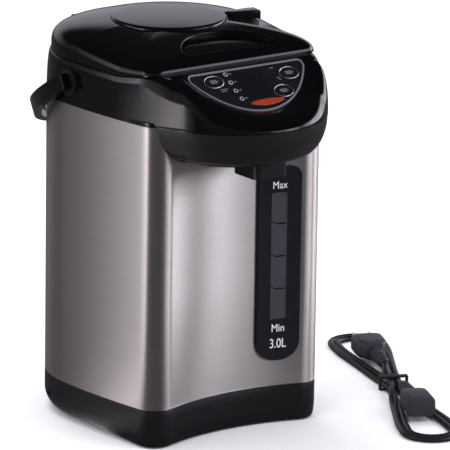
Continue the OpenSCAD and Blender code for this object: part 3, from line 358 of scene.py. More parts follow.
def base_plan(f, t):
    """The base's outline at share f of its lower rounding, which turns in further at the rear than in front."""
    front, rear = body_plan(t + f * BASE_IN_FRONT), body_plan(t + f * BASE_IN_REAR)
    out = []
    for a, b in zip(front, rear):
        w = min(1, max(0, (a[1] + 80) / 60))
        out.append(((1 - w) * a[0] + w * b[0], (1 - w) * a[1] + w * b[1]))
    return out


base_rings = [at_z(base_plan(1 - sin(s), -PROUD), BASE_Z0 + BASE_ROUND * (1 - cos(s))) for s in range(0, 91, 6)]
base_rings += [at_z(base_plan(0, t), z) for t, z in BASE_PROFILE]
base_rings += [at_z(base_plan(0.9, 2.2), 3), at_z(base_plan(0.95, 1.6), 1.45)]
base_skin = loft("base_skin", base_rings, "base", close=True, slot="base_black", sharp=60)
cut_window(base_skin, *(Vector(p) for p in world([INLET_LOW, INLET_HIGH])))


# --- Head ---
def fullness(i):
    """Exponent of the shoulder's section: round over the nose's front, square where it meets the sides."""
    return 2.0 + 1.4 * ease((i - 33) / 12) * (1 - ease((i - NOSE_N) / (0.75 * BLEND_N)))


def shoulder_ring(t, s, z0):
    """The shoulder at s degrees of its section, 0 at height z0 on the rim and 90 on the crest."""
    rim, crest = head_right(t), crest_right(t)
    right = []
    for i, (r, c) in enumerate(zip(rim, crest)):
        e = 2 / fullness(i)
        k, f = 1 - max(0.0, cos(s)) ** e, max(0.0, sin(s)) ** e
        if s == 90:
            k, f = 1.0, 1.0
        top = crest_z(c[1]) - t
        right.append((r[0] + (c[0] - r[0]) * k, r[1] + (c[1] - r[1]) * k, z0 + (top - z0) * f))
    return right + [(-x, y, z) for x, y, z in right[:0:-1]]


HEAD_STEPS = [0.15, 0.7, 1.6, 3, 6, 10, 15, 20, 26, 32, 38, 44, 50, 56, 62, 68, 73, 78, 82, 85, 87, 88.4, 89.3, 89.8,
              90]
head_rings = [at_z(both_sides(head_right(t)), z) for t, z in ((2, 253.2), (0.6, 253.1), (0.12, 253.35))]
head_rings += [shoulder_ring(-PROUD, s, CASING_Z1) for s in HEAD_STEPS]
head_rings += [[(x, y, z - d) for x, y, z in shoulder_ring(t, 90, CASING_Z1)]
               for t, d in ((0.3, -0.3), (0.75, 0.0), (0.8, 1.4))]
loft("head_skin", head_rings, "gloss", slot="gloss_black", sharp=60)


# --- Spout housing ---
SPOUT_Z0, SPOUT_Z1, SPOUT_REAR_Y = 226.8, 252.8, -62
SPOUT_IN_SIDE, SPOUT_IN_FRONT = 16, 10
SPOUT_STEPS = [88, 84, 78, 70, 62, 54, 46, 38, 30, 22, 14, 7, 0]


def housing_ring(s, t, z):
    """The housing at s degrees of its section, from 0 at the top, t inside the head's outline."""
    f = 1 - cos(s)
    return [(x * (1 - f * SPOUT_IN_SIDE / NOSE_R), NOSE_Y + (y - NOSE_Y) * (1 - f * SPOUT_IN_FRONT / NOSE_R), z)
            for x, y in both_sides(head_right(0.3 + t))]


spout_rings = [[(x * fx, NOSE_Y + (y - NOSE_Y) * fy, SPOUT_Z0 - PROUD) for x, y, z in housing_ring(90, 0, 0)]
               for fx, fy in ((0.86, 0.9), (0.96, 0.97))]
spout_rings += [housing_ring(s, -PROUD, SPOUT_Z1 - (SPOUT_Z1 - SPOUT_Z0) * sin(s)) for s in SPOUT_STEPS]
spout_rings += [housing_ring(0, 0.6, SPOUT_Z1 + 0.15), housing_ring(0, 3, SPOUT_Z1 + 0.15)]
spout_skin = loft("spout_skin", spout_rings, "satin", slot="matte_black", sharp=60)
drop_faces(spout_skin, lambda c: c.y / MM - SHIFT > SPOUT_REAR_Y)

# --- Lid ---
LID_CORNER, LID_IN = 12, SHOULDER + SEAM
WELL_R, WELL_Z = 44.55, 289
RECESS_HALF, RECESS_Y0, RECESS_Y1, RECESS_Z = 43, -79, -48.3, 294
RECESS_R = (RECESS_HALF ** 2 + (RECESS_Y1 - RECESS_Y0) ** 2) / (2 * (RECESS_Y1 - RECESS_Y0))
LOCK_AT, LOCK_DIR, LOCK_SWING, LOCK_TIP, LOCK_END, LOCK_Z = (66.5, -7), -9.5, 25, 18.5, 6.4, LID_CROWN - 5.6
POCKET_ROUND, POCKET_HALF, POCKET_TAPER, POCKET_TIP, POCKET_END = 9.4, 7.6, 3.6, LOCK_TIP + 1.2, 2
NOTCH_HALF, NOTCH_Y = 31.3, 78.55
DOME_EDGE = [1 - 0.5 * (1 - cos(a)) for a in (0, 3, 6, 9.5, 13, 17, 21, 25, 29, 33)]
DOME_RINGS = 66


def lid_plan(t):
    """The lid's outline, t inside its edge."""
    cy = LID_Y + SEAM + LID_CORNER
    cx = side_c[0] + math.sqrt((SIDE_R - LID_IN - LID_CORNER) ** 2 - (cy - SIDE_Y) ** 2)
    a = bearing(side_c, (cx, cy))
    front = [(cx * k / 72, cy - LID_CORNER + t) for k in range(72)]
    return both_sides(front + arc((cx, cy), LID_CORNER - t, -90, a, 30, 0)
                      + arc(side_c, SIDE_R - LID_IN - t, a, 0, 80) + arc(rear_c, REAR_R - LID_IN - t, 0, 90, 90))


def lid_edge(y):
    return crest_z(max(y, LID_Y)) + SEAM


def dome_height(edge_y, c):
    """Height at share c of the way from the middle to the edge point at edge_y."""
    power = 0.45 + 0.4 * min(1, max(0, -edge_y / 70))
    edge = lid_edge(edge_y)
    return edge + (LID_CROWN - edge) * max(0.0, 1 - c * c) ** (power / 2)


def recess_depth(x, y):
    """Distance inside the finger recess's outline, in millimetres."""
    return min(RECESS_R - math.hypot(x, y - (RECESS_Y1 - RECESS_R)), y - RECESS_Y0)


def recess_loop(d, corner=5.0):
    """The recess's outline grown by d, with rounded corners."""
    cy, top = RECESS_Y0 + corner, RECESS_Y1 - RECESS_R
    cx = math.sqrt((RECESS_R - corner) ** 2 - (cy - top) ** 2)
    a = bearing((0, top), (cx, cy))
    front = [(cx * k / 24, RECESS_Y0 - d) for k in range(24)]
    return both_sides(front + arc((cx, cy), corner + d, -90, a, 20, 0)
                      + arc((0, top), RECESS_R + d, a, 90, 60))


def lock_place(u, v):
    """A point about the lock's pin, with u along the wedge, to the pot's own frame."""
    x, y = LOCK_AT[0] + u, LOCK_AT[1] + v
    return x * cos(LOCK_DIR) - y * sin(LOCK_DIR), x * sin(LOCK_DIR) + y * cos(LOCK_DIR)


def lock_depth(x, y):
    """Distance inside the pocket that the lock's wedge sweeps."""
    u = x * cos(LOCK_DIR) + y * sin(LOCK_DIR) - LOCK_AT[0]
    v = -x * sin(LOCK_DIR) + y * cos(LOCK_DIR) - LOCK_AT[1]
    tilt = math.degrees(math.atan(POCKET_TAPER / LOCK_TIP))
    front = (v + POCKET_HALF) * cos(tilt) + u * sin(tilt)
    rear = ((POCKET_HALF - v * cos(LOCK_SWING) - u * sin(LOCK_SWING)) * cos(tilt)
            + (u * cos(LOCK_SWING) - v * sin(LOCK_SWING)) * sin(tilt))
    far = math.hypot(u, v)
    return max(POCKET_ROUND - far, min(front, rear, POCKET_TIP - far, POCKET_END - u))


plan = lid_plan(-PROUD)
polar = sorted((math.atan2(y, x), math.hypot(x, y), y) for x, y in plan)
polar_a, polar_r, polar_y = (np.array(v) for v in zip(*polar))


def dome_at(x, y):
    """Height of the lid's dome over a point, without its pockets."""
    a = math.atan2(y, x)
    r, edge_y = (float(np.interp(a, polar_a, v, period=2 * math.pi)) for v in (polar_r, polar_y))
    return dome_height(edge_y, math.hypot(x, y) / r)


lid_rings = [[(x * f, y * f, lid_edge(y) + dz) for x, y in plan] for f, dz in ((0.985, 0.02), (0.998, -0.02))]
for k in range(len(DOME_EDGE) + DOME_RINGS):
    ring = []
    for x, y in plan:
        inner = (WELL_R + 0.7) / math.hypot(x, y)
        if k < len(DOME_EDGE):
            c = DOME_EDGE[k]
        else:
            c = DOME_EDGE[-1] + (inner - DOME_EDGE[-1]) * (k - len(DOME_EDGE) + 1) / DOME_RINGS
        h = dome_height(y, c)
        px, py = x * c, y * c
        if abs(px) < NOTCH_HALF and py > NOTCH_Y:
            h = dome_height(y, min(1.0, NOTCH_Y / y))
            py = NOTCH_Y
        b = ease(lock_depth(px, py) / 0.9 + 0.2)
        h = h + (min(h, LOCK_Z + 0.08) - h) * b
        ring.append((px, py, h))
    lid_rings.append(ring)
dome_rim = lid_rings[-1]
for r, drop in ((0.25, 0.1), (0.06, 0.3), (0, 0.8), (0, 8), (0, 20)):
    ring = []
    for (x, y), last in zip(plan, dome_rim):
        k = (WELL_R + r) / math.hypot(x, y)
        ring.append((x * k, y * k, max(WELL_Z + 0.1, last[2] - drop)))
    lid_rings.append(ring)
lid_skin = loft("lid_skin", lid_rings, "gloss", body="lid", slot="gloss_black", sharp=50)
drop_faces(lid_skin, lambda c: recess_depth((c / MM).x, (c / MM).y - SHIFT) > -0.8)
FLANGE = [(1.9, 0.02), (1.2, 0.04), (0.55, 0.03), (0.15, -0.08), (-0.2, -0.3), (-0.45, -0.7), (-0.55, -1.3)]
liner = [[(x, y, dome_at(x, y) + dz) for x, y in recess_loop(d)] for d, dz in FLANGE]
liner += [at_z(recess_loop(d), RECESS_Z + z) for d, z in ((-0.6, 1.6), (-0.8, 0.7), (-1.4, 0.2), (-2.2, 0.1))]
loft("recess_liner", liner, "well", cap=(False, True), body="lid", slot="gloss_black", sharp=60)

# --- Pump button ---
BUTTON_R, BUTTON_TOP, BUTTON_CROWN_R = 44.2, LID_CROWN + 1.5, 700


def crown(r):
    return BUTTON_TOP - BUTTON_CROWN_R + math.sqrt(BUTTON_CROWN_R ** 2 - r * r)


profile = [(0.01, crown(0))] + [(r, crown(r)) for r in (10, 20, 30, 38, 41)]
profile += [(BUTTON_R - 1.5, crown(42.7) - 0.02), (BUTTON_R - 0.7, crown(43) - 0.25),
            (BUTTON_R - 0.15, crown(43) - 0.8), (BUTTON_R, crown(43) - 1.6), (BUTTON_R, 303), (BUTTON_R - 2, 302.5),
            (BUTTON_R - 2, BUTTON_TOP - 5.5), (8, BUTTON_TOP - 5.5), (8, 302.5), (0.01, 302.5)]
button = lathe("button_cap", profile, "gloss", n=160, body="plunger", slot="gloss_black", sharp=60)
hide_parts("pump_button")


# --- Lever in the recess ---
def across(name, xs, section, mat, **kw):
    """A closed solid through sections set across X; section(x) gives its (y, z) loop."""
    return loft(name, [[(x, y, z) for y, z in section(x)] for x in xs], mat, cap=(True, True), **kw)


LEVER_Y0, LEVER_Y1, LEVER_Z0, LEVER_HALF = RECESS_Y0 + 0.55, -57.0, 295.0, 39.6


def lever_section(x):
    """The lever's (y, z) loop at x: a raked front face, a crowned plate and a rolled rear edge."""
    y0, far = LEVER_Y0, LEVER_Y1
    edge = RECESS_Y1 - RECESS_R + math.sqrt((RECESS_R - 1.1) ** 2 - x * x)
    y1 = min(far, edge) - 1.5 * max(0, 1 - abs(far - edge) / 6) ** 2

    def plate(y):
        return 301.0 + 2.9 * (1 - max(0.0, 1 - (y - y0) / 22.5) ** 1.7) - 1.6 * (x / 41) ** 2

    line = [(y0, LEVER_Z0), (y0, 297.3), (y0 + 0.75, plate(y0) - 1.1), (y0 + 0.95, plate(y0) - 0.4),
            (y0 + 1.3, plate(y0) - 0.05)]
    if y1 - y0 < 5:
        y1 = y0 + 5
    w = y1 - y0 - 2.7
    line += [(y0 + 1.5 + w * u, plate(y0 + 1.5 + w * u))
             for u in (0.05, 0.15, 0.27, 0.4, 0.52, 0.64, 0.76, 0.88, 1.0)]
    top = plate(y1 - 1.2)
    return line + [(y1 - 0.7, top - 0.1), (y1 - 0.3, top - 0.4), (y1 - 0.05, top - 0.9), (y1, top - 1.6),
                   (y1, LEVER_Z0)]


across("lever_cap", [LEVER_HALF * sin(a) for a in range(-90, 91, 3)], lever_section, "gloss", body="lever",
       slot="gloss_black", sharp=60)


# --- Pump lock ---
def lock_section(u):
    """The wedge's section at u along it, with its lower edge clear of the dome over the whole swing."""
    half = float(np.interp(u, [-LOCK_TIP, 0, LOCK_END], [3.4, 6.9, 6.3]))
    top, r, z0 = LID_CROWN + 0.5, 0.75, LOCK_Z + 0.3
    end = min(LOCK_TIP + u, LOCK_END - u)
    if end < r:
        drop = r - math.sqrt(max(0.0, r * r - (r - end) ** 2))
        top, half = top - drop, half - drop
    side = [(-half, None), (-half, top - r), (-half + 0.12 * r, top - 0.5 * r), (-half + 0.5 * r, top - 0.12 * r),
            (-half + r, top)]
    loop = side + [(0, top + 0.05)] + [(-v, z) for v, z in side[::-1]]
    out = []
    for v, z in loop:
        x, y = lock_place(u, v)
        if z is None:
            swept = [lock_place(u * cos(a) + v * sin(a), v * cos(a) - u * sin(a))
                     for a in range(0, LOCK_SWING + 1, 5)]
            z = min(z0, max(dome_at(*q) for q in swept) + 0.3)
        out.append((x, y, z))
    return out


ends = [0, 0.08, 0.25, 0.5, 0.75]
stations = [-LOCK_TIP + e for e in ends] + [-15, -12, -8, -4, 0, 3] + [LOCK_END - e for e in ends[::-1]]
lock = loft("lock_wedge", [lock_section(u) for u in stations], "gloss", cap=(True, True), body="lock",
            slot="gloss_black", sharp=50)
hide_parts("pump_lock")

# --- Control panel ---
SLOPE_M = Matrix.Translation((0, PANEL_Y, PANEL_Z)) @ Matrix.Rotation(math.radians(SLOPE), 4, "X")
KEYS = {"key_left": ("button_left", (-33.3, -9.5)), "key_right": ("button_right", (36, -11.5)),
        "key_lower": ("button_lower", (22.5, -26.9))}
KEY_A, KEY_B = 9, 6
KEY_FACE = [(0, -0.9), (0, 0.3), (0.9, 0.55), (1.25, 0.5), (1.7, 0.62), (3.2, 0.8), (4.8, 0.9), (5.9, 0.92)]
KEY_RING = [(-0.02, -0.7), (-0.02, 0.65), (0.12, 0.86), (0.42, 0.97), (0.75, 0.9), (0.95, 0.66), (0.97, 0.3),
            (0.5, -0.5)]
KEY_MARKS = [(-0.4, 0.9, 6.0, 0.5), (0.3, -0.3, 7.4, 0.5), (-0.2, -1.5, 5.2, 0.4)]
TRIM = [(0.2, -0.5), (0.2, 0.3), (0.12, 0.5), (-0.1, 0.62), (-0.6, 0.66), (-0.95, 0.56), (-1.12, 0.4), (-1.15, -0.5)]
LAMPS = [(-19, -4), (-18.6, -12), (-18.2, -20), (-17, -28)]
LAMP_R, LAMP_RING = 1.75, [(0, -0.3), (0, 0.12), (0.12, 0.22), (0.36, 0.22), (0.48, 0.12), (0.48, -0.3)]
PANEL_MARKS = [(-27.6, -17.2, 7), (-28.2, -19.0, 5), (23.4, -4.5, 3.4), (24.8, -14.2, 3), (25.6, -16.0, 2.2)]


def on_panel(points):
    """Points from the panel's plane, with z off its face, to the pot's frame."""
    return [tuple(SLOPE_M @ Vector(p)) for p in points]


def oval_ring(name, centre, a, b, profile, mat, n=96, **kw):
    """Rings on the panel: the profile's points are (inset, height)."""
    turns = [2 * math.pi * i / n for i in range(n)]
    rings = [on_panel([(centre[0] + (a - t) * math.cos(q), centre[1] + (b - t) * math.sin(q), z) for q in turns])
             for t, z in profile]
    return loft(name, rings, mat, **kw)


def panel_bar(name, x, y, w, h, z, body="root"):
    """A plain bar in place of small text, w by h about (x, y), with its face at z."""
    loop = [(x - w / 2, y - h / 2), (x + w / 2, y - h / 2), (x + w / 2, y + h / 2), (x - w / 2, y + h / 2)]
    return loft(name, [on_panel([(u, v, z - 0.1) for u, v in loop]), on_panel([(u, v, z) for u, v in loop])],
                "dim_ink", cap=(True, True), body=body, slot="lamp_white", smooth=False)


def panel_loop(g, corner=4.0):
    """The panel's outline in its own plane, grown by g, with rounded rear corners."""
    cy = PANEL_Y - corner
    cx = math.sqrt((PANEL_R - corner) ** 2 - (cy - panel_c[1]) ** 2)
    a = bearing(panel_c, (cx, cy))
    loop = arc(panel_c, PANEL_R + g, 180 - a, 360 + a, 140, 0) + arc((cx, cy), corner + g, a, 90, 14)
    loop += [(cx - 2 * cx * k / 40, PANEL_Y + g) for k in range(1, 40)]
    loop += arc((-cx, cy), corner + g, 90, 180 - a, 14, 0)[:-1]
    return [(x, (y - PANEL_Y) / cos(SLOPE)) for x, y in loop]


loft("trim_line", [on_panel(at_z(panel_loop(g), z)) for g, z in TRIM], "trim", close=True, slot="bright_trim",
     sharp=60)
for body, (node, at) in KEYS.items():
    face = oval_ring(body + "_face", at, KEY_A, KEY_B, KEY_FACE, "film", cap=(True, True), body=body,
                     slot="panel_black", sharp=50)
    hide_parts(node)
    oval_ring(body + "_ring", at, KEY_A, KEY_B, KEY_RING, "ring", close=True, body=body, slot="bright_trim", sharp=70)
    for k, (dx, dy, w, h) in enumerate(KEY_MARKS):
        panel_bar(f"{body}_mark_{k}", at[0] + dx, at[1] + dy, w, h, 1.02, body=body)
for k, at in enumerate(LAMPS):
    oval_ring(f"lamp_ring_{k}", at, LAMP_R, LAMP_R, LAMP_RING, "lamp", n=40, close=True, slot="lamp_white", sharp=60)
    panel_bar(f"lamp_mark_{k}", at[0] + 4.0, at[1], 2.4, 0.5, 0.06)
for k, (x, y, w) in enumerate(PANEL_MARKS):
    panel_bar(f"panel_mark_{k}", x, y, w, 0.45, 0.06)

# --- Water gauge ---
GAUGE_X, GAUGE_T, INK_T = 41, 3, 0.03


def wall_front(x, proud=0.0):
    """Y of the hollow front wall at x."""
    return front_c[1] + math.sqrt((FRONT_R - proud) ** 2 - x * x)


def bend_on_wall(o, z0, proud):
    """Lays flat text or bars drawn about (0, 0) on the hollow front wall, in place."""
    me = o.data
    for v in me.vertices:
        x = GAUGE_X + v.co.x / MM
        z = z0 + v.co.y / MM
        y = wall_front(x, proud + v.co.z / MM)
        v.co = Vector(world([(x, y, z)])[0])


def gauge_text(name, words, size, width, z0):
    """Text on the gauge, size in millimetres, narrowed to width, with its foot at z0."""
    cu = bpy.data.curves.new(name, "FONT")
    cu.body, cu.size, cu.align_x, cu.extrude = words, size * MM, "CENTER", INK_T * MM
    cu.resolution_u = 6
    src = bpy.data.objects.new(name + "_src", cu)
    scene.collection.objects.link(src)
    dg = bpy.context.evaluated_depsgraph_get()
    me = bpy.data.meshes.new_from_object(src.evaluated_get(dg))
    bpy.data.objects.remove(src)
    o = bpy.data.objects.new(name, me)
    scene.collection.objects.link(o)
    for v in me.vertices:
        v.co.z = (INK_T if v.co.z > 0 else -INK_T) * MM
        v.co.x *= width
    bend_on_wall(o, z0, GAUGE_T + 0.02)
    me.materials.clear()
    me.materials.append(M["ink"])
    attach(o, "root")


gauge_text("gauge_max", "Max", 8.4, 0.84, 189.1)
gauge_text("gauge_min", "Min", 8.8, 0.84, 75.1)
gauge_text("gauge_litres", "3.0L", 10.6, 0.76, 62.2)


def wall_bar(name, x0, x1, z0, z1, p0, p1, n=8):
    """A thin plate that follows the hollow front wall, from proud p0 to p1."""
    verts, faces = [], []
    for i in range(n + 1):
        x = x0 + (x1 - x0) * i / n
        for p, z in ((p0, z0), (p1, z0), (p1, z1), (p0, z1)):
            verts.append((x, wall_front(x, p), z))
    for i in range(n):
        for j in range(4):
            a, b = i * 4 + j, i * 4 + (j + 1) % 4
            faces.append((a, b, b + 4, a + 4))
    faces += [(0, 1, 2, 3), (n * 4, n * 4 + 1, n * 4 + 2, n * 4 + 3)]
    return piece(name, world(verts), faces, "well", slot="lamp_white", smooth=False)


for k, z in enumerate((161.2, 135.3, 109.3)):
    wall_bar(f"gauge_tick_{k}", GAUGE_X - 3.4, GAUGE_X + 5.0, z - 0.5, z + 0.5, GAUGE_T - 0.45, GAUGE_T - 0.3)
    wall_bar(f"gauge_step_{k}", GAUGE_X - 5.6, GAUGE_X - 4.2, z + 1.2, z + 2.6, GAUGE_T - 0.45, GAUGE_T - 0.34)

# --- Carrying handle ---
PIVOT_Y, PIVOT_Z, DROP = 6, 270, 28.5
STRAP_X, STRAP_T, STRAP_W, MID = HALF_W + 3.2, 6, 12.5, 110
STRAP_ROUND, STRAP_POWER = 1.6, 5.5
STRAP_ENDS = [-6.2, -6.05, -5.7, -5.2, -4.6, -3.5]
HANDLE_M = Matrix.Translation((0, PIVOT_Y, PIVOT_Z)) @ Matrix.Rotation(math.radians(-DROP), 4, "X")
v0 = (SIDE_Y - PIVOT_Y) / cos(DROP)


def handle_curve(inset):
    """The handle's path in its own plane, from one end round the rear to the other."""
    x, v = STRAP_X + STRAP_T - inset, MID + STRAP_T / 2 - inset
    side = [(x, t) for t in STRAP_ENDS] + [(x, v0 * k / 4) for k in range(4)]
    side += [(rear_c[0] + (x - rear_c[0]) * cos(a), v0 + (v - v0) * sin(a)) for a in np.linspace(0, 90, 61)]
    return side + [(-a, b) for a, b in side[::-1]]


outer_c, inner_c = handle_curve(0), handle_curve(STRAP_T)
section = []
for a in range(0, 360, 15):
    e = 2 / STRAP_POWER
    section.append((math.copysign(abs(cos(a)) ** e, cos(a)), math.copysign(abs(sin(a)) ** e, sin(a))))
rings = []
for k, ((xo, yo), (xi, yi)) in enumerate(zip(outer_c, inner_c)):
    ring = []
    back = min(k, len(outer_c) - 1 - k)
    inset = 0
    if back < len(STRAP_ENDS):
        left = max(0, STRAP_ROUND - (STRAP_ENDS[back] - STRAP_ENDS[0]))
        inset = STRAP_ROUND - math.sqrt(STRAP_ROUND ** 2 - left ** 2)
    for u, w in section:
        f = (1 + u * (1 - inset / STRAP_T)) / 2
        p = HANDLE_M @ Vector((xi + (xo - xi) * f, yi + (yo - yi) * f, w * (STRAP_W / 2 + 0.02 - inset)))
        ring.append(tuple(p))
    rings.append(ring)
loft("handle_bar", rings, "gloss", cap=(True, True), body="handle", slot="matte_black", sharp=70)

# --- Power cord: one length wound into a tied hank beside the pot ---
CORD_R, HANK_AT, HANK_TURN = 2.5, (174.4, -67.5), 66
HANK_HALF, LOOP_IN, LOOP_OUT, CROSS_Z, CORD_END, CORD_HELD = 120, 16.6, 21.8, 7.6, 33, 30
PLUG_Z, PLUG_H = 2 * CORD_R + 0.2, 15
AXIS_Z = PLUG_Z + PLUG_H / 2
HANK_M = Matrix.Translation((HANK_AT[0], HANK_AT[1], 0)) @ Matrix.Rotation(math.radians(HANK_TURN), 4, "Z")


def hank(points):
    """Points about the hank's middle, with X along it, to the pot's frame."""
    return [tuple(HANK_M @ Vector(p)) for p in points]


def half_turn(sign, r, a0, a1):
    return [(sign * HANK_HALF + r * cos(a), r * sin(a), CORD_R) for a in np.linspace(a0, a1, 13)]


def flat(pts, sx, sy):
    return [(sx * x, sy * y, CORD_R) for x, y in pts]


IN = [(100, 15.2), (75, 11.3), (50, 7.2), (25, 3.8), (8, 1.0)]
OUT = [(100, 20.6), (75, 16.5), (50, 12.4), (25, 8.9), (8, 6.1)]
BACK = [(100, 15.2), (75, 11.3), (50, 7.6), (25, 5.6), (8, 5.2)]
knots = [(-CORD_END, 0, AXIS_Z), (-28, 0, AXIS_Z), (-18, -1.2, 10.3), (-8, -2.4, 7.9), (0, -2.6, CROSS_Z),
         (8, -1.8, 7.2), (14, -0.3, 5.9), (22, 1.6, 3.8), (33, 3.6, CORD_R), (50, 7, CORD_R), (75, 11.3, CORD_R),
         (100, 15.2, CORD_R)]
knots += half_turn(1, LOOP_IN, 80, -80) + flat(IN, 1, -1) + [(0, 0, CORD_R)] + flat(IN[::-1], -1, -1)
knots += half_turn(-1, LOOP_IN, 260, 100) + flat(BACK, -1, 1) + [(0, 5.2, CORD_R)] + flat(OUT[::-1], 1, 1)
knots += half_turn(1, LOOP_OUT, 80, -80) + flat(OUT, 1, -1) + [(0, -5.2, CORD_R)] + flat(OUT[::-1], -1, -1)
knots += half_turn(-1, LOOP_OUT, 260, 100) + flat(OUT[:2], -1, 1)
knots += [(-50, 12.4, 3.0), (-36, 10.2, 6), (-22, 6.6, CROSS_Z), (-10, 3.6, CROSS_Z), (0, 2.6, CROSS_Z),
          (8, 2.4, 7.9), (18, 1.2, 10.3), (28, 0, AXIS_Z), (CORD_END, 0, AXIS_Z)]


def resample(p, step):
    """Points at even distances along a path."""
    p = np.asarray(p, float)
    seg = np.linalg.norm(np.diff(p, axis=0), axis=1)
    at = np.concatenate([[0], np.cumsum(seg)])
    n = max(2, int(round(at[-1] / step)) + 1)
    t = np.linspace(0, at[-1], n)
    return np.stack([np.interp(t, at, p[:, k]) for k in range(3)], 1)


def settle(p, rounds=160):
    """Strands are eased a diameter apart and smoothed, with both ends and the floor fixed."""
    p = resample(p, 3.0)
    n = len(p)
    i, j = np.triu_indices(n, 7)
    for k in range(rounds):
        d = p[i] - p[j]
        dist = np.linalg.norm(d, axis=1)
        near = dist < 2 * CORD_R + 0.08
        push = np.zeros_like(p)
        hits = np.zeros(n)
        if near.any():
            u = d[near] / np.maximum(dist[near], 1e-6)[:, None]
            move = 0.5 * (2 * CORD_R + 0.1 - dist[near])[:, None] * u
            np.add.at(push, i[near], move)
            np.add.at(push, j[near], -move)
            np.add.at(hits, i[near], 1)
            np.add.at(hits, j[near], 1)
            p += push / np.maximum(hits, 1)[:, None] * 0.9
        if k < rounds - 25 or k % 5 == 0:
            for share in (0.4, -0.415):
                q = p.copy()
                q[2:-2] = p[2:-2] + share * (0.5 * (p[1:-3] + p[3:-1]) - p[2:-2])
                p = q
        p[:, 2] = np.maximum(p[:, 2], CORD_R)
        p[0], p[1] = (-CORD_END, 0, AXIS_Z), (-CORD_HELD, 0, AXIS_Z)
        p[-1], p[-2] = (CORD_END, 0, AXIS_Z), (CORD_HELD, 0, AXIS_Z)
    return p


route = settle(knots)
points = world(hank(route))
curve = bpy.data.curves.new("power_cord", "CURVE")
curve.dimensions, curve.bevel_depth, curve.bevel_resolution = "3D", CORD_R * MM, 8
curve.use_fill_caps = True
spline = curve.splines.new("NURBS")
spline.points.add(len(points) - 1)
for k, p in enumerate(points):
    spline.points[k].co = (*p, 1)
spline.use_endpoint_u, spline.order_u, spline.resolution_u = True, 4, 2
cord = bpy.data.objects.new("power_cord", curve)
scene.collection.objects.link(cord)
curve.materials.append(M["cord"])
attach(cord, "root")
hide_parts("cord_hank")


def along(name, profile, mat, side=1, n=48, **kw):
    """A turned piece about the hank's own axis: the profile's points are (distance along, radius)."""
    turns = np.linspace(0, 2 * math.pi, n + 1)[:-1]
    rings = [hank([(side * s, r * math.cos(a), AXIS_Z + r * math.sin(a)) for a in turns]) for s, r in profile]
    return loft(name, rings, mat, **kw)


def block(name, sections, mat, side=1, n=44, power=4.5, **kw):
    """A moulded body: sections are (distance along, half width, half height)."""
    rings = []
    for s, w, h in sections:
        ring = []
        for a in np.linspace(0, 2 * math.pi, n + 1)[:-1]:
            c, d = math.cos(a), math.sin(a)
            ring.append((side * s, w * math.copysign(abs(c) ** (2 / power), c),
                         AXIS_Z + h * math.copysign(abs(d) ** (2 / power), d)))
        rings.append(hank(ring))
    return loft(name, rings, mat, cap=(True, True), **kw)


relief = [(28.1, 2.55), (28.1, 3.0), (28.5, 3.15), (33.2, 3.4)]
for k in range(5):
    s0, r = 34 + 5 * k, 4.85 + 0.25 * k
    relief += [(s0 - 0.3, 3.5 + 0.3 * k), (s0, r - 0.3), (s0 + 0.4, r), (s0 + 2.2, r + 0.05), (s0 + 2.6, r - 0.3),
               (s0 + 2.9, 3.6 + 0.3 * k)]
relief += [(60.5, 5.1), (60.6, 1)]
PLUG = [(59.4, 5, 4.6), (59.6, 7.4, 5.6), (61, 8.1, 6.4), (66, 8.7, 7.0), (69, 10.4, 7.3), (71, 12.2, 7.45),
        (74, 12.9, 7.5), (84, 13, 7.5), (90.5, 12.9, 7.5), (92.4, 12.4, 7.1), (93, 11.4, 6.2)]
CONNECTOR = [(59.4, 5, 4.6), (59.6, 7.8, 5.6), (61.2, 9.6, 6.8), (64, 10.7, 7.4), (70, 11, 7.5), (90.6, 11, 7.5),
             (91.8, 10.6, 7.2), (92, 10.1, 6.8)]
BLADE_Y = 6.35
BLADE = [(92.6, 1, 3.2), (109.2, 1, 3.2), (110.6, 0.8, 2.6), (111, 0.4, 2.2)]
SQUARE = ((-1, -1), (1, -1), (1, 1), (-1, 1))

plug_parts = [along(f"{end}_relief", relief, "plug", side=side, slot="plug_black", sharp=60)
              for side, end in ((1, "plug"), (-1, "connector"))]
plug = block("plug_body", PLUG, "plug", slot="plug_black", sharp=60)
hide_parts("mains_plug")
for k, y in enumerate((-BLADE_Y, BLADE_Y)):
    rings = [hank([(s, y + u * w * 0.75, AXIS_Z + v * h) for u, v in SQUARE]) for s, w, h in BLADE]
    loft(f"plug_blade_{k}", rings, "blade", cap=(True, True), slot="screw_steel", smooth=False)
connector = block("connector_body", CONNECTOR, "plug", side=-1, power=6, slot="plug_black", sharp=60)
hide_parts("pot_connector")
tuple(points[0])

# --- CAD nodes that show as they are get their edges broken and their finish ---
FINISH = {
    "base_plate": "base", "rubber_feet": "rubber", "base_screws": "screw", "base_shell": "base",
    "outer_casing": "steel", "gauge_panel": "film", "gauge_window": "clear", "sight_tube": "tube",
    "head_housing": "gloss", "spout_housing": "satin", "spout_plate": "base", "spout_collar": "base",
    "spout_nozzle": "white", "control_panel": "film", "panel_trim": "gloss", "display_window": "glass",
    "indicator_lens": "red", "indicator_lamps": "film", "panel_board": "board", "inner_pot": "inner",
    "pot_gasket": "seal", "band_heater": "mica", "thermostat": "white", "water_pump": "white",
    "pump_impeller": "white", "outlet_hose": "seal", "power_board": "board", "power_inlet": "base",
    "hinge_bracket": "satin", "hinge_pin": "screw", "lid_cover": "gloss", "inner_lid": "inner",
    "lid_gasket": "seal", "lid_hinge": "satin", "hinge_cover": "gloss", "lid_lever": "gloss", "lever_pin": "screw",
    "latch_keeper": "satin", "pump_bellows": "rubber", "pump_spring": "screw", "lock_pin": "screw",
    "carry_handle": "gloss", "handle_pivots": "satin", "cord_tie": "tie",
}
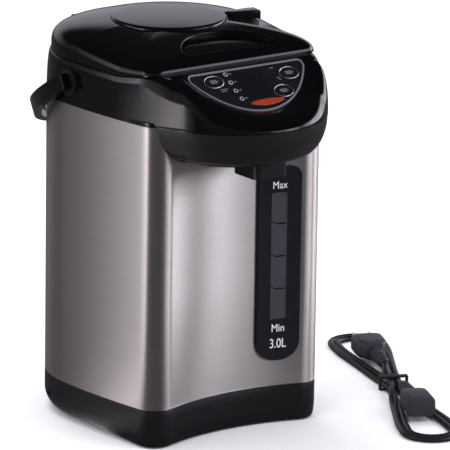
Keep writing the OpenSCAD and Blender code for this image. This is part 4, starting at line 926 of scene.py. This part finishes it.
BEVEL = {
    "gauge_panel": 0.5, "spout_plate": 0.8, "spout_collar": 0.6, "hinge_cover": 1.2, "control_panel": 0.2,
    "panel_trim": 0.18, "indicator_lens": 0.35, "cord_tie": 0.5, "handle_pivots": 0.8, "rubber_feet": 0.4,
    "power_inlet": 0.4, "lid_lever": 0.4, "latch_keeper": 0.3, "gauge_window": 0.2, "water_pump": 0.5,
    "thermostat": 0.4, "hinge_bracket": 0.3, "base_plate": 0.3,
}


def angle_shading(degrees):
    """A node group that shades faces smooth and keeps edges over the angle sharp."""
    group = bpy.data.node_groups.new("angle_shading", "GeometryNodeTree")
    for way in ("INPUT", "OUTPUT"):
        group.interface.new_socket("Geometry", in_out=way, socket_type="NodeSocketGeometry")
    n, link = group.nodes, group.links.new
    start, end, turn, less, shade = (n.new(k) for k in (
        "NodeGroupInput", "NodeGroupOutput", "GeometryNodeInputMeshEdgeAngle", "FunctionNodeCompare",
        "GeometryNodeSetShadeSmooth"))
    less.data_type, less.operation, shade.domain = "FLOAT", "LESS_THAN", "EDGE"
    less.inputs[1].default_value = math.radians(degrees)
    link(turn.outputs["Unsigned Angle"], less.inputs[0])
    link(less.outputs[0], shade.inputs["Shade Smooth"])
    link(start.outputs[0], shade.inputs["Geometry"])
    link(shade.outputs[0], end.inputs[0])
    return group


ANGLE_SHADING = angle_shading(35)
for name, key in FINISH.items():
    o = NODE[name]
    o.data.materials.clear()
    o.data.materials.append(M[key])
    for a in [a.name for a in o.data.attributes if a.name == "custom_normal"]:
        o.data.attributes.remove(o.data.attributes[a])
    weld = o.modifiers.new("weld", "WELD")
    weld.merge_threshold = 0.000005
    o.modifiers.new("shading", "NODES").node_group = ANGLE_SHADING
    if name in BEVEL:
        bv = o.modifiers.new("edges", "BEVEL")
        bv.width, bv.segments = BEVEL[name] * MM, 3
        bv.limit_method, bv.angle_limit = "ANGLE", math.radians(40)
        bv.use_clamp_overlap = True
    for p in o.data.polygons:
        p.use_smooth = True
    wn = o.modifiers.new("normals", "WEIGHTED_NORMAL")
    wn.keep_sharp = True

# --- Studio: glossy rays see their own brightness, by compass bearing; all other rays see plain white ---
scene.view_settings.view_transform = "Standard"


def bearing_light(nt, vector, stops, gain):
    """Brightness by compass bearing about the pot; stops are (degrees from +X towards +Y, value)."""
    n, link = nt.nodes, nt.links.new
    xyz, turn, share, ramp = (n.new(f"ShaderNode{k}") for k in ("SeparateXYZ", "Math", "MapRange", "ValToRGB"))
    link(vector, xyz.inputs[0])
    turn.operation = "ARCTAN2"
    link(xyz.outputs["Y"], turn.inputs[0])
    link(xyz.outputs["X"], turn.inputs[1])
    link(turn.outputs[0], share.inputs["Value"])
    share.inputs["From Min"].default_value, share.inputs["From Max"].default_value = -math.pi, math.pi
    ramp.color_ramp.interpolation = "EASE"
    stops = sorted(((b + 180) % 360 / 360, v) for b, v in stops)
    f0 = stops[0][0] / (stops[0][0] + 1 - stops[-1][0])
    seam = stops[0][1] + (stops[-1][1] - stops[0][1]) * f0
    elements = ramp.color_ramp.elements
    elements[0].color = elements[1].color = (seam / gain, seam / gain, seam / gain, 1)
    for at, v in stops:
        elements.new(at).color = (v / gain, v / gain, v / gain, 1)
    link(share.outputs["Result"], ramp.inputs["Fac"])
    out = n.new("ShaderNodeMath")
    out.operation = "MULTIPLY"
    out.inputs[1].default_value = gain
    link(ramp.outputs["Color"], out.inputs[0])
    return out.outputs[0], xyz.outputs["Z"]


def fade(nt, value, a, b, lo=0.0, hi=1.0):
    """lo to hi, softly, as the value goes from a to b."""
    f = nt.nodes.new("ShaderNodeMapRange")
    f.interpolation_type = "SMOOTHSTEP"
    for key, v in (("From Min", a), ("From Max", b), ("To Min", lo), ("To Max", hi)):
        f.inputs[key].default_value = v
    nt.links.new(value, f.inputs["Value"])
    return f.outputs["Result"]


def calc(nt, op, a, b):
    m = nt.nodes.new("ShaderNodeMath")
    m.operation = op
    for k, v in enumerate((a, b)):
        if isinstance(v, (int, float)):
            m.inputs[k].default_value = v
        else:
            nt.links.new(v, m.inputs[k])
    return m.outputs[0]


STRIPS = [
    (54, 0.5), (85, 0.5), (117, 0.15), (129, 0.25), (132, 0.4), (136, 1.0), (139, 1.7), (141, 2.2), (144, 2.4),
    (150, 4.2), (157, 2.6), (165, 1.1), (176, 0.45), (-165, 0.4), (-150, 0.2), (-124, 0.12), (-101, 0.12),
    (-79, 0.5), (-70, 2.7), (-62, 3.4), (-56, 4.4), (-49, 6.6), (-42, 4.8), (-34, 1.1), (-24, 4.4), (-14, 7.2),
    (0, 5.6), (16, 2.0), (32, 0.6),
]
FLOOR_STRIPS = [
    (54, 0.1), (100, 0.1), (125, 0.1), (143, 0.12), (160, 0.3), (178, 0.8), (-176, 1.1), (-168, 0.5), (-160, 0.1),
    (-126, 0.1), (-84, 0.1), (-60, 0.15), (-24, 0.2), (16, 0.14), (34, 0.1),
]
FAR_STRIPS = [
    (54, 0), (125, 0), (143, 0.05), (148, 0.2), (153, 0.55), (158, 1.1), (163, 1.9), (168, 3.0), (173, 4.3),
    (177, 5.4), (-179, 5.5), (-176, 3.4), (-173, 0.9), (-168, 0.1), (-160, 0), (-60, 0),
]
BACK_PANEL = [(54, 1.0), (20, 0.85), (-5, 0.2), (-40, 0), (160, 0), (110, 0.2), (85, 0.85), (-120, 0)]
STRIP_GAIN, FAR_FROM, FAR_TO = 8.0, 0.86, 1.02
PLAIN_LEVEL, BACK_LEVEL, FILL_LEVEL = 0.8, 0.19, 0.025
FLOOR_HALF = 9

floor = bpy.data.objects.new("floor", bpy.data.meshes.new("floor"))
floor.data.from_pydata([(x * FLOOR_HALF, y * FLOOR_HALF, 0) for x, y in SQUARE], [], [(0, 1, 2, 3)])
scene.collection.objects.link(floor)
white = material("floor_white", (0.93, 0.93, 0.93), 0.7, vary=0.004, grain=(3, 3, 3), spec=0.1)
nt = white.node_tree
tc, glow, mix, path = (nt.nodes.new(f"ShaderNode{k}") for k in ("TexCoord", "Emission", "MixShader", "LightPath"))
level, _ = bearing_light(nt, tc.outputs["Object"], FLOOR_STRIPS, STRIP_GAIN)
far, _ = bearing_light(nt, tc.outputs["Object"], FAR_STRIPS, STRIP_GAIN)
span = nt.nodes.new("ShaderNodeVectorMath")
span.operation = "LENGTH"
nt.links.new(tc.outputs["Object"], span.inputs[0])
level = calc(nt, "ADD", level, calc(nt, "MULTIPLY", far, fade(nt, span.outputs["Value"], FAR_FROM, FAR_TO)))
nt.links.new(level, glow.inputs["Strength"])
glow.inputs["Color"].default_value = (1.0, 0.92, 1.0, 1)
nt.links.new(path.outputs["Is Glossy Ray"], mix.inputs[0])
nt.links.new(nt.nodes["Principled BSDF"].outputs[0], mix.inputs[1])
nt.links.new(glow.outputs[0], mix.inputs[2])
nt.links.new(mix.outputs[0], nt.nodes["Material Output"].inputs["Surface"])
white.cycles.emission_sampling = "NONE"
floor.data.materials.append(white)

sky = bpy.data.worlds.new("studio")
scene.world = sky
sky.use_nodes = True
sky.cycles.sampling_method = "NONE"
nt = sky.node_tree
ground = nt.nodes["Background"]
ground.inputs["Color"].default_value = (0.90, 0.90, 1.0, 1)
tc, path = nt.nodes.new("ShaderNodeTexCoord"), nt.nodes.new("ShaderNodeLightPath")
strip, up = bearing_light(nt, tc.outputs["Generated"], STRIPS, STRIP_GAIN)
strip = calc(nt, "MULTIPLY", strip, fade(nt, up, 0.26, 0.42, 1.0, 0.0))
back, _ = bearing_light(nt, tc.outputs["Generated"], BACK_PANEL, 1.0)
back = calc(nt, "MULTIPLY", back, calc(nt, "MULTIPLY", fade(nt, up, 0.0, 0.1), fade(nt, up, 0.30, 0.45, 1.0, 0.0)))
seen = calc(nt, "ADD", calc(nt, "ADD", strip, calc(nt, "MULTIPLY", back, BACK_LEVEL)), FILL_LEVEL)
plain = calc(nt, "MULTIPLY", calc(nt, "SUBTRACT", 1.0, path.outputs["Is Glossy Ray"]), PLAIN_LEVEL)
both = calc(nt, "ADD", plain, calc(nt, "MULTIPLY", seen, path.outputs["Is Glossy Ray"]))
nt.links.new(both, ground.inputs["Strength"])


def lamp(name, at, target, size, power):
    d = bpy.data.lights.new(name, "AREA")
    d.shape, d.size, d.size_y, d.energy = "RECTANGLE", size[0], size[1], power
    o = bpy.data.objects.new(name, d)
    scene.collection.objects.link(o)
    o.location = at
    o.rotation_euler = (Vector(target) - Vector(at)).to_track_quat("-Z", "Y").to_euler()
    o.visible_glossy = False


lamp("key_light", (1.2, -2.2, 1.9), (0, 0, 0.15), (1.6, 1.8), 34)
lamp("left_light", (-2.3, -0.9, 1.4), (0, 0, 0.15), (1.4, 1.8), 26)
lamp("top_light", (-0.2, 0.9, 2.3), (0, 0, 0.1), (2.0, 1.4), 34)
